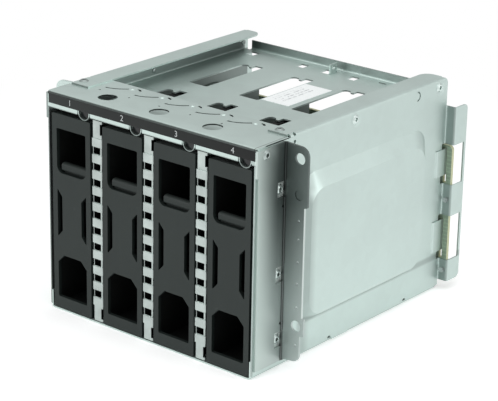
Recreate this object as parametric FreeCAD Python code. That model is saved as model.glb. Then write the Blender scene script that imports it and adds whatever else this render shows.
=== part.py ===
import FreeCAD, Part
import math
import os

# Hot swap drive cage for four 3.5 inch drives standing on edge, in millimetres.
# +Z is up, the drives go in along +Y from the front, +X is to the right.
# The origin is at the middle of the base of the bounding box.

# Sheet metal
sheet = 0.8
bend_radius = 0.6
bracket_sheet = 1.2
seat_gap = 0.1

# Cage body, measured over the side walls
cage_width = 140.6
cage_height = 123.0
wall_depth = 162.0
wall_bottom = 2.0

# Bays
bay_count = 4
bay_pitch = 35.7
roof_drop = 11.6
divider_depth = 128.0

# Front plate with its number lip
front_plate_depth = 35.5
front_plate_drop = 8.8
label_height = 5.6
label_thickness = 0.3
label_left_margin = 0.8
label_right_margin = 0.4
access_hole_radius = 5.2
access_hole_depth = 12.0
access_hole_shift = -3.1

# Bay indicators in the lip
indicator_shift = 9.6
indicator_notch_width = 9.0
collar_radius = 4.1
collar_wall = 0.5
collar_depth = 3.0
collar_rise = 1.8
lens_recess = 1.6

# Lanced fingers in the front plate
lance_count = 5
lance_pitch = 20.9
lance_start_x = -52.1
lance_start_depth = 24.2
lance_slit = 1.3
lance_bump_radius = 1.6
lance_bump_height = 0.5
lance_dot_radius = 0.6
lance_long_arc = ((0.0, 0.0), (6.0, 1.6), (11.5, 5.8))
lance_short_arc = ((15.6, 8.2), (17.4, 7.9), (18.7, 6.4))
lance_dot_place = (1.0, -5.2)
lance_bump_place = (13.2, 6.4)

# Roof of the bays, set below the wall tops
roof_front = 10.5
roof_rear = 161.0
roof_rear_flange_height = 5.0
roof_rear_flange_inset = 4.5
opening_width = 13.0
opening_past_divider = 0.7
opening_long_lobe = 1.5
opening_corner = 1.0
opening_far_corner = 2.5
tooth_from_right = 5.6
tooth_length = 2.6
tooth_width = 1.8
tooth_slope = 1.6
tooth_corner = 0.8
near_opening_start = 42.0
near_opening_end = 69.0
far_opening_start = 85.6
far_opening_end = 133.0
locator_hole_width = 5.2
locator_hole_length = 6.2
locator_hole_depth = 152.6
locator_hole_shift = -3.7
cable_tab_width = 6.0
cable_tab_height = 5.5
cable_tab_depth = 150.0
cable_tab_hole_radius = 1.2
cable_tab_hole_rise = 3.3
cable_tab_gap = 0.5
spare_slot_x = 31.6
spare_slot_width = 5.0
spare_slot_length = 2.5
spare_slot_depth = 156.4
sticker_width = 18.0
sticker_length = 38.0
sticker_thickness = 0.2
sticker_start = 88.0
sticker_left = 1.6

# Side walls
wall_flange_width = 13.2
wall_flange_end = 159.6
wall_flange_corner = 6.0
wall_rear_corner = 4.0
left_flange_start = 16.0
right_flange_start = 25.0
emboss_height = 3.4
emboss_front = 37.0
emboss_rear = 143.5
emboss_bottom = 18.3
emboss_drop = 23.0
emboss_top_run = 9.6
emboss_bottom_run = 3.2
emboss_end_run = 4.2
emboss_corner = 10.0
relief_depth = 30.0
relief_width = 1.8
relief_hole_radius = 0.9
relief_hole_drop = 4.3
half_moon_depth = 134.0
half_moon_drop = 5.2
half_moon_radius = 2.8
half_moon_slit = 0.8
base_notch_radius = 1.6
base_notch_depths = (63.3, 130.2)
base_foot_start = 65.6
base_foot_length = 13.5
base_foot_drop = 1.0
base_flange_height = 10.0

# Rear flanges of the side walls, which hold the backplane
rear_flange_reach = 6.1
rear_flange_length = 11.5
rear_flange_bottom = 5.4
rear_flange_drop = 16.5
rear_flange_corner = 3.0
rear_strip_width = 1.8
rear_windows = ((18.0, 44.0), (62.0, 85.0))
hook_length = 13.0
hook_root = 3.0
hook_reach = 4.5
hook_joggle = 0.9
hook_margin_low = 5.0
hook_margin_high = 3.0

# Divider fronts and their springy shielding strips
strip_width = 7.6
strip_sheet = 0.25
strip_leg = 7.6
strip_bottom_gap = 0.4
strip_top_over_roof = 1.4
strip_window_count = 10
strip_window_low_margin = 15.6
strip_window_high_margin = 16.2
strip_window_width = 4.8
strip_window_height = 3.7
strip_finger_slit = 0.8
strip_notch_length = 5.9
strip_notch_end = 1.5
strip_notch_width = 1.7
strip_bulge = 0.5
strip_rung_height = 4.6
hem_leg = 8.0
hem_slot_width = 5.0
divider_window_front = 32.0
divider_window_rear_margin = 22.0
divider_window_low = 24.0
divider_window_high = 76.0
divider_window_corner = 8.0
divider_slot_count = 4
divider_slot_pitch = 9.0
divider_slot_width = 5.0
divider_slot_height = 14.0
divider_slot_drop = 13.4
divider_slot_rear_margin = 6.0
divider_slot_corner = 1.0
divider_rib_height = 0.5
divider_rib_width = 3.0
divider_rib_front = 20.0
divider_rib_rear_margin = 8.0
divider_low_rib = 14.0
divider_high_rib_drop = 8.0

# Mounting brackets
ear_set_back = 21.6
ear_reach = 14.2
ear_middle_step = 1.8
ear_foot_step = 0.3
ear_low_step = 2.8
ear_bottom = 5.4
ear_foot_bottom = 21.0
ear_foot_top = 30.4
ear_shoulder_drop = 33.5
ear_corner = 5.0
ear_small_corner = 0.8
ear_low_corner = 4.0
ear_low_rise = 1.2
ear_top_drop = 0.8
bracket_bottom = 4.4
bracket_top_drop = 1.9
bracket_front_gap = 1.3
bracket_nose_height = 14.0
ear_hole_radius = 3.0
ear_hole_inset = 5.2
ear_low_hole_height = 25.7
ear_high_hole_drop = 8.9
ear_dimple_drop = 27.7
ear_dimple_radius = 2.7
ear_dimple_depth = 0.6
ear_pilot_radius = 0.75
ear_pilot_heights = (15.3, 35.8, 48.5, 60.1, 72.1, 81.8)
bracket_window_width = 5.6
bracket_window_height = 8.5
bracket_window_heights = (16.6, 51.9, 96.8)
bend_dart_radius = 0.8
bend_dart_heights = (25.1, 87.9)

# Rivets
rivet_head_radius = 2.6
rivet_head_height = 0.9
rivet_crown_radius = 1.6
rivet_round = 0.25
rivet_shank_radius = 1.6
rivet_bore_radius = 1.0
rivet_dimple_radius = 4.2
rivet_dimple_depth = 0.25
wall_rivet_depths = (79.8, 154.6)
wall_rivet_drop = 4.8
front_rivet_inset = 4.2
bracket_rivet_depth = 6.7
bracket_rivet_drop = 5.2

# Drive blanks
blank_depth = 96.0
blank_body_depth = 58.0
blank_set_back = 0.2
blank_side_gap = 0.3
blank_floor_gap = 0.5
blank_roof_gap = 0.7
blank_face = 2.2
blank_wall = 1.8
blank_corner = 0.8
blank_window_corner = 0.8
blank_skid_height = 7.0
blank_skid_nose = 12.0
blank_skid_taper = 5.0
blank_window_margin = 3.3
upper_window_drop = 7.9
upper_window_height = 18.8
pocket_height = 5.8
pocket_corner = 4.0
finger_bar_gap = 1.2
finger_bar_depth = 4.6
finger_bar_set_back = 0.9
finger_bar_left = 2.6
finger_bar_root = 0.6
finger_bar_rib = 1.6
finger_bar_round = 1.6
finger_bar_low_round = 1.2
finger_bar_end_round = 2.4
side_slot_low = 42.0
side_slot_high = 69.2
side_slot_width = 3.5
side_slot_chamfer = 4.0
side_slot_corner = 0.3
lower_window_low = 7.6
lower_window_high = 32.0
lower_window_chamfer = 4.3
baffle_depth = 44.0
baffle_slot_width = 2.0
baffle_slot_pitch = 4.4
baffle_slot_count = 5
baffle_slot_length = 30.0
baffle_slot_margin = 14.0
rib_over_lower_window = 4.0
rib_under_pocket = 6.0
rib_thickness = 1.5
rib_length = 26.0
wall_slot_depth = 29.0
wall_slot_length = 2.6
wall_slot_height = 1.5
wall_slot_rises = (5.6, 8.4)
latch_depth = 6.0
latch_width = 12.0
latch_length = 30.0
latch_slit = 1.0

# Backplane
board_thickness = 2.0
board_bottom = 6.0
board_top = 84.0
board_edge_gap = 0.7
board_corner = 2.5
board_slot_gap = 0.5
board_vent_width = 8.0
board_vent_low = 14.0
board_vent_high = 62.0
board_screw_heights = (11.7, 53.0)
screw_radius = 1.5
screw_head_radius = 2.7
screw_head_height = 1.6
drive_socket_height = 43.0
drive_socket_width = 6.4
drive_socket_depth = 9.0
drive_socket_middle = 37.0
drive_socket_shift = -7.0
drive_socket_wall = 1.2
drive_socket_floor = 2.4
drive_socket_end_wall = 4.8
drive_socket_guide_width = 2.4
drive_socket_guide_depth = 3.6
drive_socket_corner = 1.0
data_socket_width = 24.0
data_socket_height = 9.6
data_socket_depth = 11.6
power_socket_width = 23.0
power_socket_height = 10.4
power_socket_depth = 10.6
header_width = 16.0
header_height = 6.0
header_depth = 8.6
header_wall = 1.0
header_pin_columns = 6
header_pin_pitch = 2.0
header_pin_width = 0.6
header_pin_recess = 1.5
data_socket_wall = 1.4
power_socket_wall = 1.2
power_socket_ways = 5
rear_socket_floor = 2.0
rear_parts_middle = 70.5
capacitor_radius = 3.2
capacitor_length = 7.6
capacitor_rise = 8.0
capacitor_round = 0.5

# Places that follow from the sizes above
half_width = cage_width / 2
inner_half_width = half_width - sheet
board_front_depth = wall_depth + sheet
board_back_depth = board_front_depth + board_thickness
rear_depth = board_back_depth + data_socket_depth
front = -(rear_depth - label_thickness) / 2
roof_bottom = cage_height - roof_drop
roof_top = roof_bottom + sheet
plate_top = cage_height - sheet
plate_bottom = plate_top - sheet
lip_bottom = plate_top - front_plate_drop
label_bottom = plate_bottom - label_height
roof_flange_top = plate_bottom - seat_gap - seat_gap
strip_bottom = sheet + strip_bottom_gap
strip_top = roof_bottom + strip_top_over_roof
strip_window_first = strip_bottom + strip_window_low_margin
strip_window_last = strip_top - strip_window_high_margin
strip_window_pitch = (strip_window_last - strip_window_first) / (strip_window_count - 1)
ear_edge = half_width + bracket_sheet + ear_reach
ear_hole_x = ear_edge - ear_hole_inset
ear_shoulder = cage_height - ear_shoulder_drop
ear_dimple_height = cage_height - ear_dimple_drop
ear_hole_heights = (ear_low_hole_height, cage_height - ear_high_hole_drop)
rear_flange_edge = half_width + rear_flange_reach
rear_flange_top = cage_height - rear_flange_drop
emboss_top = cage_height - emboss_drop
divider_centres = [bay_pitch * (n - bay_count / 2) for n in range(1, bay_count)]
end_bay_edge = inner_half_width - sheet
end_bay_width = end_bay_edge + divider_centres[0] - strip_width / 2
blank_width = min(end_bay_width, bay_pitch - strip_width) - 2 * blank_side_gap
blank_bottom = sheet + blank_floor_gap
blank_top = roof_bottom - blank_roof_gap
upper_window_high = blank_top - upper_window_drop
upper_window_low = upper_window_high - upper_window_height
pocket_low = upper_window_low - pocket_height

PLANES = {
    "xy": lambda u, v, w: FreeCAD.Vector(u, v, w),
    "xz": lambda u, v, w: FreeCAD.Vector(u, w, v),
    "yz": lambda u, v, w: FreeCAD.Vector(w, u, v),
}


# Place along Y of a depth measured from the front
def deep(depth):
    return front + depth


def box(x_low, x_high, y_low, y_high, z_low, z_high):
    corner = FreeCAD.Vector(x_low, y_low, z_low)
    return Part.makeBox(x_high - x_low, y_high - y_low, z_high - z_low, corner)


def rod(centre, axis, radius, length):
    return Part.makeCylinder(radius, length, FreeCAD.Vector(*centre), FreeCAD.Vector(*axis))


def joined(shapes):
    result = shapes[0]
    for shape in shapes[1:]:
        result = result.fuse(shape)
    return result.removeSplitter()


def without(shape, cutters):
    return shape.cut(Part.makeCompound(cutters))


# Closed wire through the given corners; a third number is the corner's rounding radius
def outline(corners, plane, level):
    place = PLANES[plane]
    count = len(corners)
    stretches = []
    for index in range(count):
        here = corners[index]
        back = corners[index - 1]
        ahead = corners[(index + 1) % count]
        point = FreeCAD.Vector(here[0], here[1], 0)
        to_back = (FreeCAD.Vector(back[0], back[1], 0) - point).normalize()
        to_ahead = (FreeCAD.Vector(ahead[0], ahead[1], 0) - point).normalize()
        radius = here[2] if len(here) > 2 else 0
        if radius > 0:
            half_angle = to_back.getAngle(to_ahead) / 2
            run = radius / math.tan(half_angle)
            bisector = (to_back + to_ahead).normalize()
            middle = point + bisector * (radius / math.sin(half_angle) - radius)
            stretches.append((point + to_back * run, middle, point + to_ahead * run))
        else:
            stretches.append((point,))
    edges = []
    for index in range(count):
        stretch = [place(p.x, p.y, level) for p in stretches[index]]
        following = stretches[(index + 1) % count][0]
        target = place(following.x, following.y, level)
        if len(stretch) == 3:
            edges.append(Part.Arc(*stretch).toShape())
        if stretch[-1].distanceToPoint(target) > 1e-6:
            edges.append(Part.makeLine(stretch[-1], target))
    return Part.Wire(edges)


# Corners of a rectangle, all with the same rounding radius
def rounded_box(u_low, u_high, v_low, v_high, radius):
    return [
        (u_low, v_low, radius),
        (u_high, v_low, radius),
        (u_high, v_high, radius),
        (u_low, v_high, radius),
    ]


def prism(corners, plane, start, end):
    face = Part.Face(outline(corners, plane, start))
    return face.extrude(PLANES[plane](0, 0, end - start))


# Bent sheet: the path is its outer side and the thickness lies to the left of the path
def bent_sheet(path, plane, start, end, thickness=sheet):
    points = [FreeCAD.Vector(u, v, 0) for u, v in path]
    last = len(points) - 1
    runs = [(points[n + 1] - points[n]).normalize() for n in range(last)]
    sides = [FreeCAD.Vector(-run.y, run.x, 0) for run in runs]
    outer = [(points[0].x, points[0].y)]
    inner = [points[0] + sides[0] * thickness]
    inner = [(inner[0].x, inner[0].y)]
    for n in range(1, last):
        miter = (sides[n - 1] + sides[n]).normalize()
        reach = thickness / miter.dot(sides[n])
        far = points[n] + miter * reach
        turns_left = runs[n - 1].cross(runs[n]).z > 0
        wide = bend_radius + thickness
        if turns_left:
            outer_radius, inner_radius = wide, bend_radius
        else:
            outer_radius, inner_radius = bend_radius, wide
        outer.append((points[n].x, points[n].y, outer_radius))
        inner.append((far.x, far.y, inner_radius))
    end_side = points[last] + sides[-1] * thickness
    outer.append((points[last].x, points[last].y))
    inner.append((end_side.x, end_side.y))
    return prism(outer + inner[::-1], plane, start, end)


def mirrored(shape):
    return shape.mirror(FreeCAD.Vector(0, 0, 0), FreeCAD.Vector(1, 0, 0))


# Slit of even width along the arc through three points of the XY plane
def arc_slit(first, middle, last, width, z_low, z_high):
    points = [FreeCAD.Vector(x, y, z_low) for x, y in (first, middle, last)]
    arc = Part.Arc(*points)
    centre = arc.toShape().Curve.Center

    def side(offset):
        moved = []
        for point in points:
            ray = (point - centre).normalize()
            moved.append(point + ray * offset)
        return moved

    near = side(-width / 2)
    far = side(width / 2)
    edges = [
        Part.Arc(*near).toShape(),
        Part.makeLine(near[2], far[2]),
        Part.Arc(*far[::-1]).toShape(),
        Part.makeLine(far[0], near[0]),
    ]
    return Part.Face(Part.Wire(edges)).extrude(FreeCAD.Vector(0, 0, z_high - z_low))


# Hollow rivet: a domed head on the outside, a shank through the sheets and a rolled tail
def rivet(face_point, outward, grip):
    head = rivet_head_height
    profile = [
        (rivet_bore_radius, -grip),
        (rivet_bore_radius, head, rivet_round),
        (rivet_crown_radius, head, rivet_round),
        (rivet_head_radius, 0),
        (rivet_shank_radius, 0),
        (rivet_shank_radius, -grip),
    ]
    section = Part.Face(outline(profile, "xz", 0))
    solid = section.revolve(FreeCAD.Vector(0, 0, 0), FreeCAD.Vector(0, 0, 1), 360)
    turn = FreeCAD.Rotation(FreeCAD.Vector(0, 0, 1), FreeCAD.Vector(*outward))
    solid.Placement = FreeCAD.Placement(FreeCAD.Vector(*face_point), turn)
    return solid


def rivet_hole(face_point, outward, grip):
    axis = FreeCAD.Vector(*outward)
    start = FreeCAD.Vector(*face_point) - axis * (grip + 1)
    return rod(tuple(start), outward, rivet_shank_radius, grip + 2)


# Where the rivets go, as (point on the outer face, outward direction, thickness of the sheets)
def wall_rivet_places():
    height = cage_height - wall_rivet_drop
    places = []
    for side in (-1, 1):
        for depth in wall_rivet_depths:
            face = side * (half_width - rivet_dimple_depth)
            places.append(((face, deep(depth), height), (side, 0, 0), 2 * sheet - rivet_dimple_depth))
    return places


# Shallow dimples that the riveting leaves in the walls
def wall_dimples():
    dimples = []
    for point, outward, grip in wall_rivet_places():
        dimples.append(Part.makeCone(rivet_head_radius, rivet_dimple_radius, rivet_dimple_depth,
                                     FreeCAD.Vector(*point), FreeCAD.Vector(*outward)))
    return dimples


def front_rivet_places():
    rise = (0, 0, 1)
    left_x = -half_width + front_rivet_inset
    right_x = half_width - wall_flange_width + front_rivet_inset
    left = (left_x, deep(left_flange_start + wall_flange_width / 2), cage_height)
    right = (right_x, deep(right_flange_start + front_rivet_inset), cage_height)
    return [(left, rise, 2 * sheet), (right, rise, 2 * sheet)]


def bracket_rivet_places():
    height = cage_height - bracket_rivet_drop
    face = half_width + bracket_sheet
    places = []
    for side in (-1, 1):
        point = (side * face, deep(bracket_rivet_depth), height)
        places.append((point, (side, 0, 0), bracket_sheet + sheet))
    return places


# Rivets of the walls that stand in the windows of the brackets
def window_stud_places():
    depth = ear_set_back - bracket_window_width / 2
    places = []
    for side in (-1, 1):
        for height in bracket_window_heights:
            places.append(((side * half_width, deep(depth), height), (side, 0, 0), sheet))
    return places


def make_rivets(places):
    return Part.makeCompound([rivet(*place) for place in places])


def rivet_cuts(places):
    return [rivet_hole(*place) for place in places]


# Raised panel of the right wall: a drawn shell with sloping sides
def emboss():
    def drawn(level, inset):
        rise = emboss_height - inset
        skin = inset
        low = [
            (deep(emboss_front) + skin, emboss_bottom + skin, emboss_corner),
            (deep(emboss_rear) - skin, emboss_bottom + skin, emboss_corner),
            (deep(emboss_rear) - skin, emboss_top - skin, emboss_corner),
            (deep(emboss_front) + skin, emboss_top - skin, emboss_corner),
        ]
        run_front = deep(emboss_front) + emboss_end_run + skin
        run_rear = deep(emboss_rear) - emboss_end_run - skin
        high = [
            (run_front, emboss_bottom + emboss_bottom_run + skin, emboss_corner),
            (run_rear, emboss_bottom + emboss_bottom_run + skin, emboss_corner),
            (run_rear, emboss_top - emboss_top_run - skin, emboss_corner),
            (run_front, emboss_top - emboss_top_run - skin, emboss_corner),
        ]
        wires = [outline(low, "yz", level), outline(high, "yz", half_width + rise)]
        return Part.makeLoft(wires, True, True)

    outside = drawn(half_width - sheet / 2, 0)
    inside = drawn(half_width - 2 * sheet, sheet)
    return outside, inside


# Flange turned outwards and then back at the rear of the right wall, with two windows
def rear_flange():
    lead = wall_depth - bend_radius - 2 * sheet
    path = [
        (half_width, deep(lead)),
        (half_width, deep(wall_depth)),
        (rear_flange_edge, deep(wall_depth)),
        (rear_flange_edge, deep(wall_depth + rear_flange_length)),
    ]
    flange = bent_sheet(path, "xy", rear_flange_bottom, rear_flange_top)
    rear = deep(wall_depth + rear_flange_length)
    trim = [
        (deep(lead) - 1, rear_flange_bottom),
        (rear, rear_flange_bottom, rear_flange_corner),
        (rear, rear_flange_top, rear_flange_corner),
        (deep(lead) - 1, rear_flange_top),
    ]
    flange = flange.common(prism(trim, "yz", half_width - 5, rear_flange_edge + 5))
    cutters = []
    for low, high in rear_windows:
        cut_front = deep(wall_depth) - 3 * sheet
        cut_rear = rear - rear_strip_width
        cutters.append(box(half_width - 3 * sheet, rear_flange_edge + 1, cut_front, cut_rear, low, high))
    return without(flange, cutters)


# Hooks of the right wall that reach through the backplane, pressed a little outwards
def rear_hooks():
    hooks = []
    tip = wall_depth + hook_reach
    for low, high in rear_windows:
        base = tip - hook_length
        path = [
            (half_width, deep(base - hook_root)),
            (half_width, deep(base)),
            (half_width + hook_joggle, deep(base + hook_joggle)),
            (half_width + hook_joggle, deep(tip)),
        ]
        hooks.append(bent_sheet(path, "xy", low + hook_margin_low, high - hook_margin_high))
    return hooks


def side_wall(side):
    flange_start = right_flange_start if side > 0 else left_flange_start
    path = [
        (half_width, wall_bottom),
        (half_width, cage_height),
        (half_width - wall_flange_width, cage_height),
    ]
    wall = bent_sheet(path, "xz", front, deep(wall_depth))
    flange_inner = half_width - wall_flange_width
    deep_end = deep(wall_depth) + 1
    spare_corner = [
        (flange_inner - 1, deep(wall_flange_end) - 2 * wall_flange_corner),
        (flange_inner, deep(wall_flange_end) - 2 * wall_flange_corner),
        (flange_inner, deep(wall_flange_end), wall_flange_corner),
        (half_width - 2 * sheet, deep(wall_flange_end)),
        (half_width - 2 * sheet, deep_end),
        (flange_inner - 1, deep_end),
    ]
    flange_low = cage_height - sheet - bend_radius
    lip_gap = sheet + bend_radius
    cutters = [
        prism(spare_corner, "xy", flange_low, cage_height + 1),
        box(half_width - 2 * sheet, half_width + 1, front - 1, front + lip_gap,
            lip_bottom - seat_gap, cage_height + 1),
        box(flange_inner - 1, half_width + 1, front - 1, deep(flange_start), plate_bottom, cage_height + 1),
        box(half_width - 2 * sheet, half_width + 1, deep(flange_start) - 0.01,
            deep(flange_start) + relief_width, plate_bottom, cage_height + 1),
        box(half_width - 2 * sheet, half_width + 1, deep(relief_depth - relief_width / 2),
            deep(relief_depth + relief_width / 2), flange_low, cage_height + 1),
        rod((half_width - 5, deep(relief_depth), cage_height - relief_hole_drop), (1, 0, 0),
            relief_hole_radius, 10),
    ]
    corner_edge = deep(wall_depth) - wall_rear_corner
    corner_low = cage_height - wall_rear_corner
    corner = box(half_width - 3 * sheet, half_width + 1, corner_edge, deep_end, corner_low, cage_height + 1)
    round_part = rod((half_width - 5, corner_edge, corner_low), (1, 0, 0), wall_rear_corner, 10)
    cutters.append(corner.cut(round_part))
    for depth in base_notch_depths:
        cutters.append(rod((half_width - 5, deep(depth), wall_bottom), (1, 0, 0), base_notch_radius, 10))
    for low, high in rear_windows:
        hook_front = wall_depth + hook_reach - hook_length
        cutters.append(box(half_width - 3, half_width + 3, deep(hook_front), deep_end,
                           low + hook_margin_low - seat_gap, high - hook_margin_high + seat_gap))
        cutters.append(box(half_width - 3, half_width + 3, deep(wall_depth) - 3 * sheet, deep_end,
                           low, high))
    outside, inside = emboss()
    foot = box(half_width - sheet, half_width, deep(base_foot_start),
               deep(base_foot_start + base_foot_length), wall_bottom - base_foot_drop, wall_bottom + 1)
    wall = without(wall, cutters)
    wall = joined([wall, outside, foot, rear_flange()] + rear_hooks())
    moon_centre = (half_width - 5, deep(half_moon_depth), cage_height - half_moon_drop)
    moon = rod(moon_centre, (1, 0, 0), half_moon_radius, 10)
    moon = moon.cut(rod(moon_centre, (1, 0, 0), half_moon_radius - half_moon_slit, 10))
    moon = moon.common(box(half_width - 5, half_width + 5, deep(half_moon_depth), deep(half_moon_depth) + 9,
                           0, cage_height))
    wall = without(wall, [inside, moon])
    if side < 0:
        wall = mirrored(wall)
    places = wall_rivet_places() + front_rivet_places() + bracket_rivet_places() + window_stud_places()
    return without(wall, rivet_cuts(places) + wall_dimples())


# One opening of the roof: a straight near end and a far end of two lobes with a tooth between
def bay_opening(right_edge, start, end, z_low, z_high):
    left = right_edge - opening_width
    tooth = right_edge - tooth_from_right
    tooth_left = tooth - tooth_width
    far = deep(end)
    corners = [
        (left, deep(start), opening_corner),
        (right_edge, deep(start), opening_corner),
        (right_edge, far + opening_long_lobe, opening_corner),
        (tooth, far + opening_long_lobe, tooth_corner),
        (tooth, far - tooth_length, tooth_corner / 2),
        (tooth_left, far - tooth_length, tooth_corner),
        (tooth_left - tooth_slope, far - tooth_corner / 2, opening_corner),
        (left, far, opening_far_corner),
    ]
    return prism(corners, "xy", z_low, z_high)


# Right-hand edges of the openings: over the dividers, and beside the right wall in the last bay
def opening_edges():
    last = inner_half_width - sheet - 3 * bend_radius
    return [centre + opening_past_divider for centre in divider_centres] + [last]


def bay_centres():
    centre_span = [-end_bay_edge] + [c for c in divider_centres] + [end_bay_edge]
    centres = []
    for n in range(bay_count):
        left = centre_span[n] + (strip_width / 2 if n > 0 else 0)
        right = centre_span[n + 1] - (strip_width / 2 if n < bay_count - 1 else 0)
        centres.append((left + right) / 2)
    return centres


def top_plate():
    path = [
        (-inner_half_width, roof_flange_top),
        (-inner_half_width, roof_bottom),
        (inner_half_width, roof_bottom),
        (inner_half_width, roof_flange_top),
    ]
    side_end = roof_rear - 2 * (sheet + bend_radius)
    plate = bent_sheet(path, "xz", deep(roof_front), deep(side_end))
    reach = inner_half_width - roof_rear_flange_inset
    rear_path = [
        (deep(side_end - 1), roof_bottom),
        (deep(roof_rear), roof_bottom),
        (deep(roof_rear), roof_top + roof_rear_flange_height),
    ]
    rear = bent_sheet(rear_path, "yz", -reach, reach)
    tab_front = deep(cable_tab_depth)
    tab_path = [(-2 * sheet - bend_radius, roof_bottom), (0, roof_bottom), (0, roof_top + cable_tab_height)]
    tab = bent_sheet(tab_path, "xz", tab_front, tab_front + cable_tab_width)
    low = roof_bottom - 1
    high = roof_top + 1
    cutters = []
    for edge in opening_edges():
        cutters.append(bay_opening(edge, near_opening_start, near_opening_end, low, high))
        cutters.append(bay_opening(edge, far_opening_start, far_opening_end, low, high))
    for centre in bay_centres():
        x = centre + locator_hole_shift
        y = deep(locator_hole_depth)
        cutters.append(box(x - locator_hole_width / 2, x + locator_hole_width / 2,
                           y - locator_hole_length / 2, y + locator_hole_length / 2, low, high))
    cutters.append(box(spare_slot_x - spare_slot_width / 2, spare_slot_x + spare_slot_width / 2,
                       deep(spare_slot_depth - spare_slot_length / 2),
                       deep(spare_slot_depth + spare_slot_length / 2), low, high))
    tab_rear = tab_front + cable_tab_width
    cutters.append(box(-cable_tab_height - 2 * sheet, sheet, tab_front - cable_tab_gap,
                       tab_rear + cable_tab_gap, low, high))
    plate = joined([without(plate, cutters), rear])
    tab_root = box(-sheet, 2 * sheet, tab_front, tab_rear, roof_bottom, roof_top)
    tab_room = box(-sheet - bend_radius, sheet, tab_front, tab_rear, roof_bottom,
                   roof_top + cable_tab_height + 1)
    plate = plate.fuse([tab_root, tab.common(tab_room)])
    hole = rod((-5, tab_front + cable_tab_width / 2, roof_top + cable_tab_hole_rise), (1, 0, 0),
               cable_tab_hole_radius, 10)
    plate = plate.removeSplitter().cut(hole)
    return without(plate, rivet_cuts(wall_rivet_places()))


def lance_places():
    return [(lance_start_x + n * lance_pitch, deep(lance_start_depth)) for n in range(lance_count)]


def lance_cuts():
    cuts = []
    low = plate_bottom - 1
    high = plate_top + 1
    for x, y in lance_places():
        for arc in (lance_long_arc, lance_short_arc):
            points = [(x + across, y + along) for across, along in arc]
            cuts.append(arc_slit(*points, lance_slit, low, high))
        dot = (x + lance_dot_place[0], y + lance_dot_place[1], low)
        cuts.append(rod(dot, (0, 0, 1), lance_dot_radius, high - low))
    return cuts


# Dome beside each slit, a cap of a sphere on the plate
def lance_bumps():
    bumps = []
    cap_radius = (lance_bump_radius ** 2 + lance_bump_height ** 2) / (2 * lance_bump_height)
    keep = box(-half_width, half_width, front, deep(front_plate_depth + 5), plate_bottom, cage_height + 5)
    for x, y in lance_places():
        centre = FreeCAD.Vector(x + lance_bump_place[0], y + lance_bump_place[1],
                                plate_top + lance_bump_height - cap_radius)
        bumps.append(Part.makeSphere(cap_radius, centre).common(keep))
    return bumps


def indicator_places():
    return [centre + indicator_shift for centre in bay_centres()]


def collar_height():
    return lip_bottom + collar_rise


def front_top_plate():
    path = [
        (deep(front_plate_depth), plate_top),
        (front, plate_top),
        (front, lip_bottom),
    ]
    plate = bent_sheet(path, "yz", -half_width, half_width)
    side = sheet + bend_radius + seat_gap
    rear = deep(front_plate_depth) + 1
    low = plate_bottom - 1
    high = plate_top + 1
    cutters = [
        box(-half_width - 1, -half_width + side, deep(left_flange_start), rear, low, high),
        box(half_width - side, half_width + 1, deep(right_flange_start), rear, low, high),
    ]
    for centre in divider_centres:
        cutters.append(rod((centre + access_hole_shift, deep(access_hole_depth), low), (0, 0, 1),
                           access_hole_radius, 4))
    notch_half = indicator_notch_width / 2
    for x in indicator_places():
        cutters.append(box(x - notch_half, x + notch_half, front - 1, front + 2 * sheet,
                           lip_bottom - 1, label_bottom))
        cutters.append(rod((x, front - 1, collar_height()), (0, 1, 0), collar_radius - collar_wall, 4))
    plate = without(plate, cutters + lance_cuts())
    collars = []
    for x in indicator_places():
        ring = rod((x, front, collar_height()), (0, 1, 0), collar_radius, collar_depth)
        bore = rod((x, front - 1, collar_height()), (0, 1, 0), collar_radius - collar_wall,
                   collar_depth + 2)
        collars.append(ring.cut(bore))
    plate = joined([plate] + collars + lance_bumps())
    return without(plate, rivet_cuts(front_rivet_places()))


def label_strip():
    low_x = -half_width + label_left_margin
    high_x = half_width - label_right_margin
    strip = box(low_x, high_x, front - label_thickness, front, label_bottom, plate_bottom - bend_radius)
    return strip


def indicator_lenses():
    lenses = []
    radius = collar_radius - collar_wall
    for x in indicator_places():
        start = front + lens_recess
        lenses.append(rod((x, start, collar_height()), (0, 1, 0), radius, collar_depth - lens_recess))
    return Part.makeCompound(lenses)


def bottom_plate():
    path = [
        (-inner_half_width, base_flange_height),
        (-inner_half_width, 0),
        (inner_half_width, 0),
        (inner_half_width, base_flange_height),
    ]
    plate = bent_sheet(path, "xz", front, deep(roof_rear))
    cutters = []
    for edge in opening_edges():
        cutters.append(bay_opening(edge, near_opening_start, near_opening_end, -1, sheet + 1))
        cutters.append(bay_opening(edge, far_opening_start, far_opening_end, -1, sheet + 1))
    return without(plate, cutters)


# Heights between which the right edge of a strip is cut away
def strip_notches():
    reach = strip_notch_end + strip_notch_length
    low = (strip_bottom + strip_notch_end, strip_bottom + reach)
    high = (strip_top - reach, strip_top - strip_notch_end)
    return [low, high]


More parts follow.
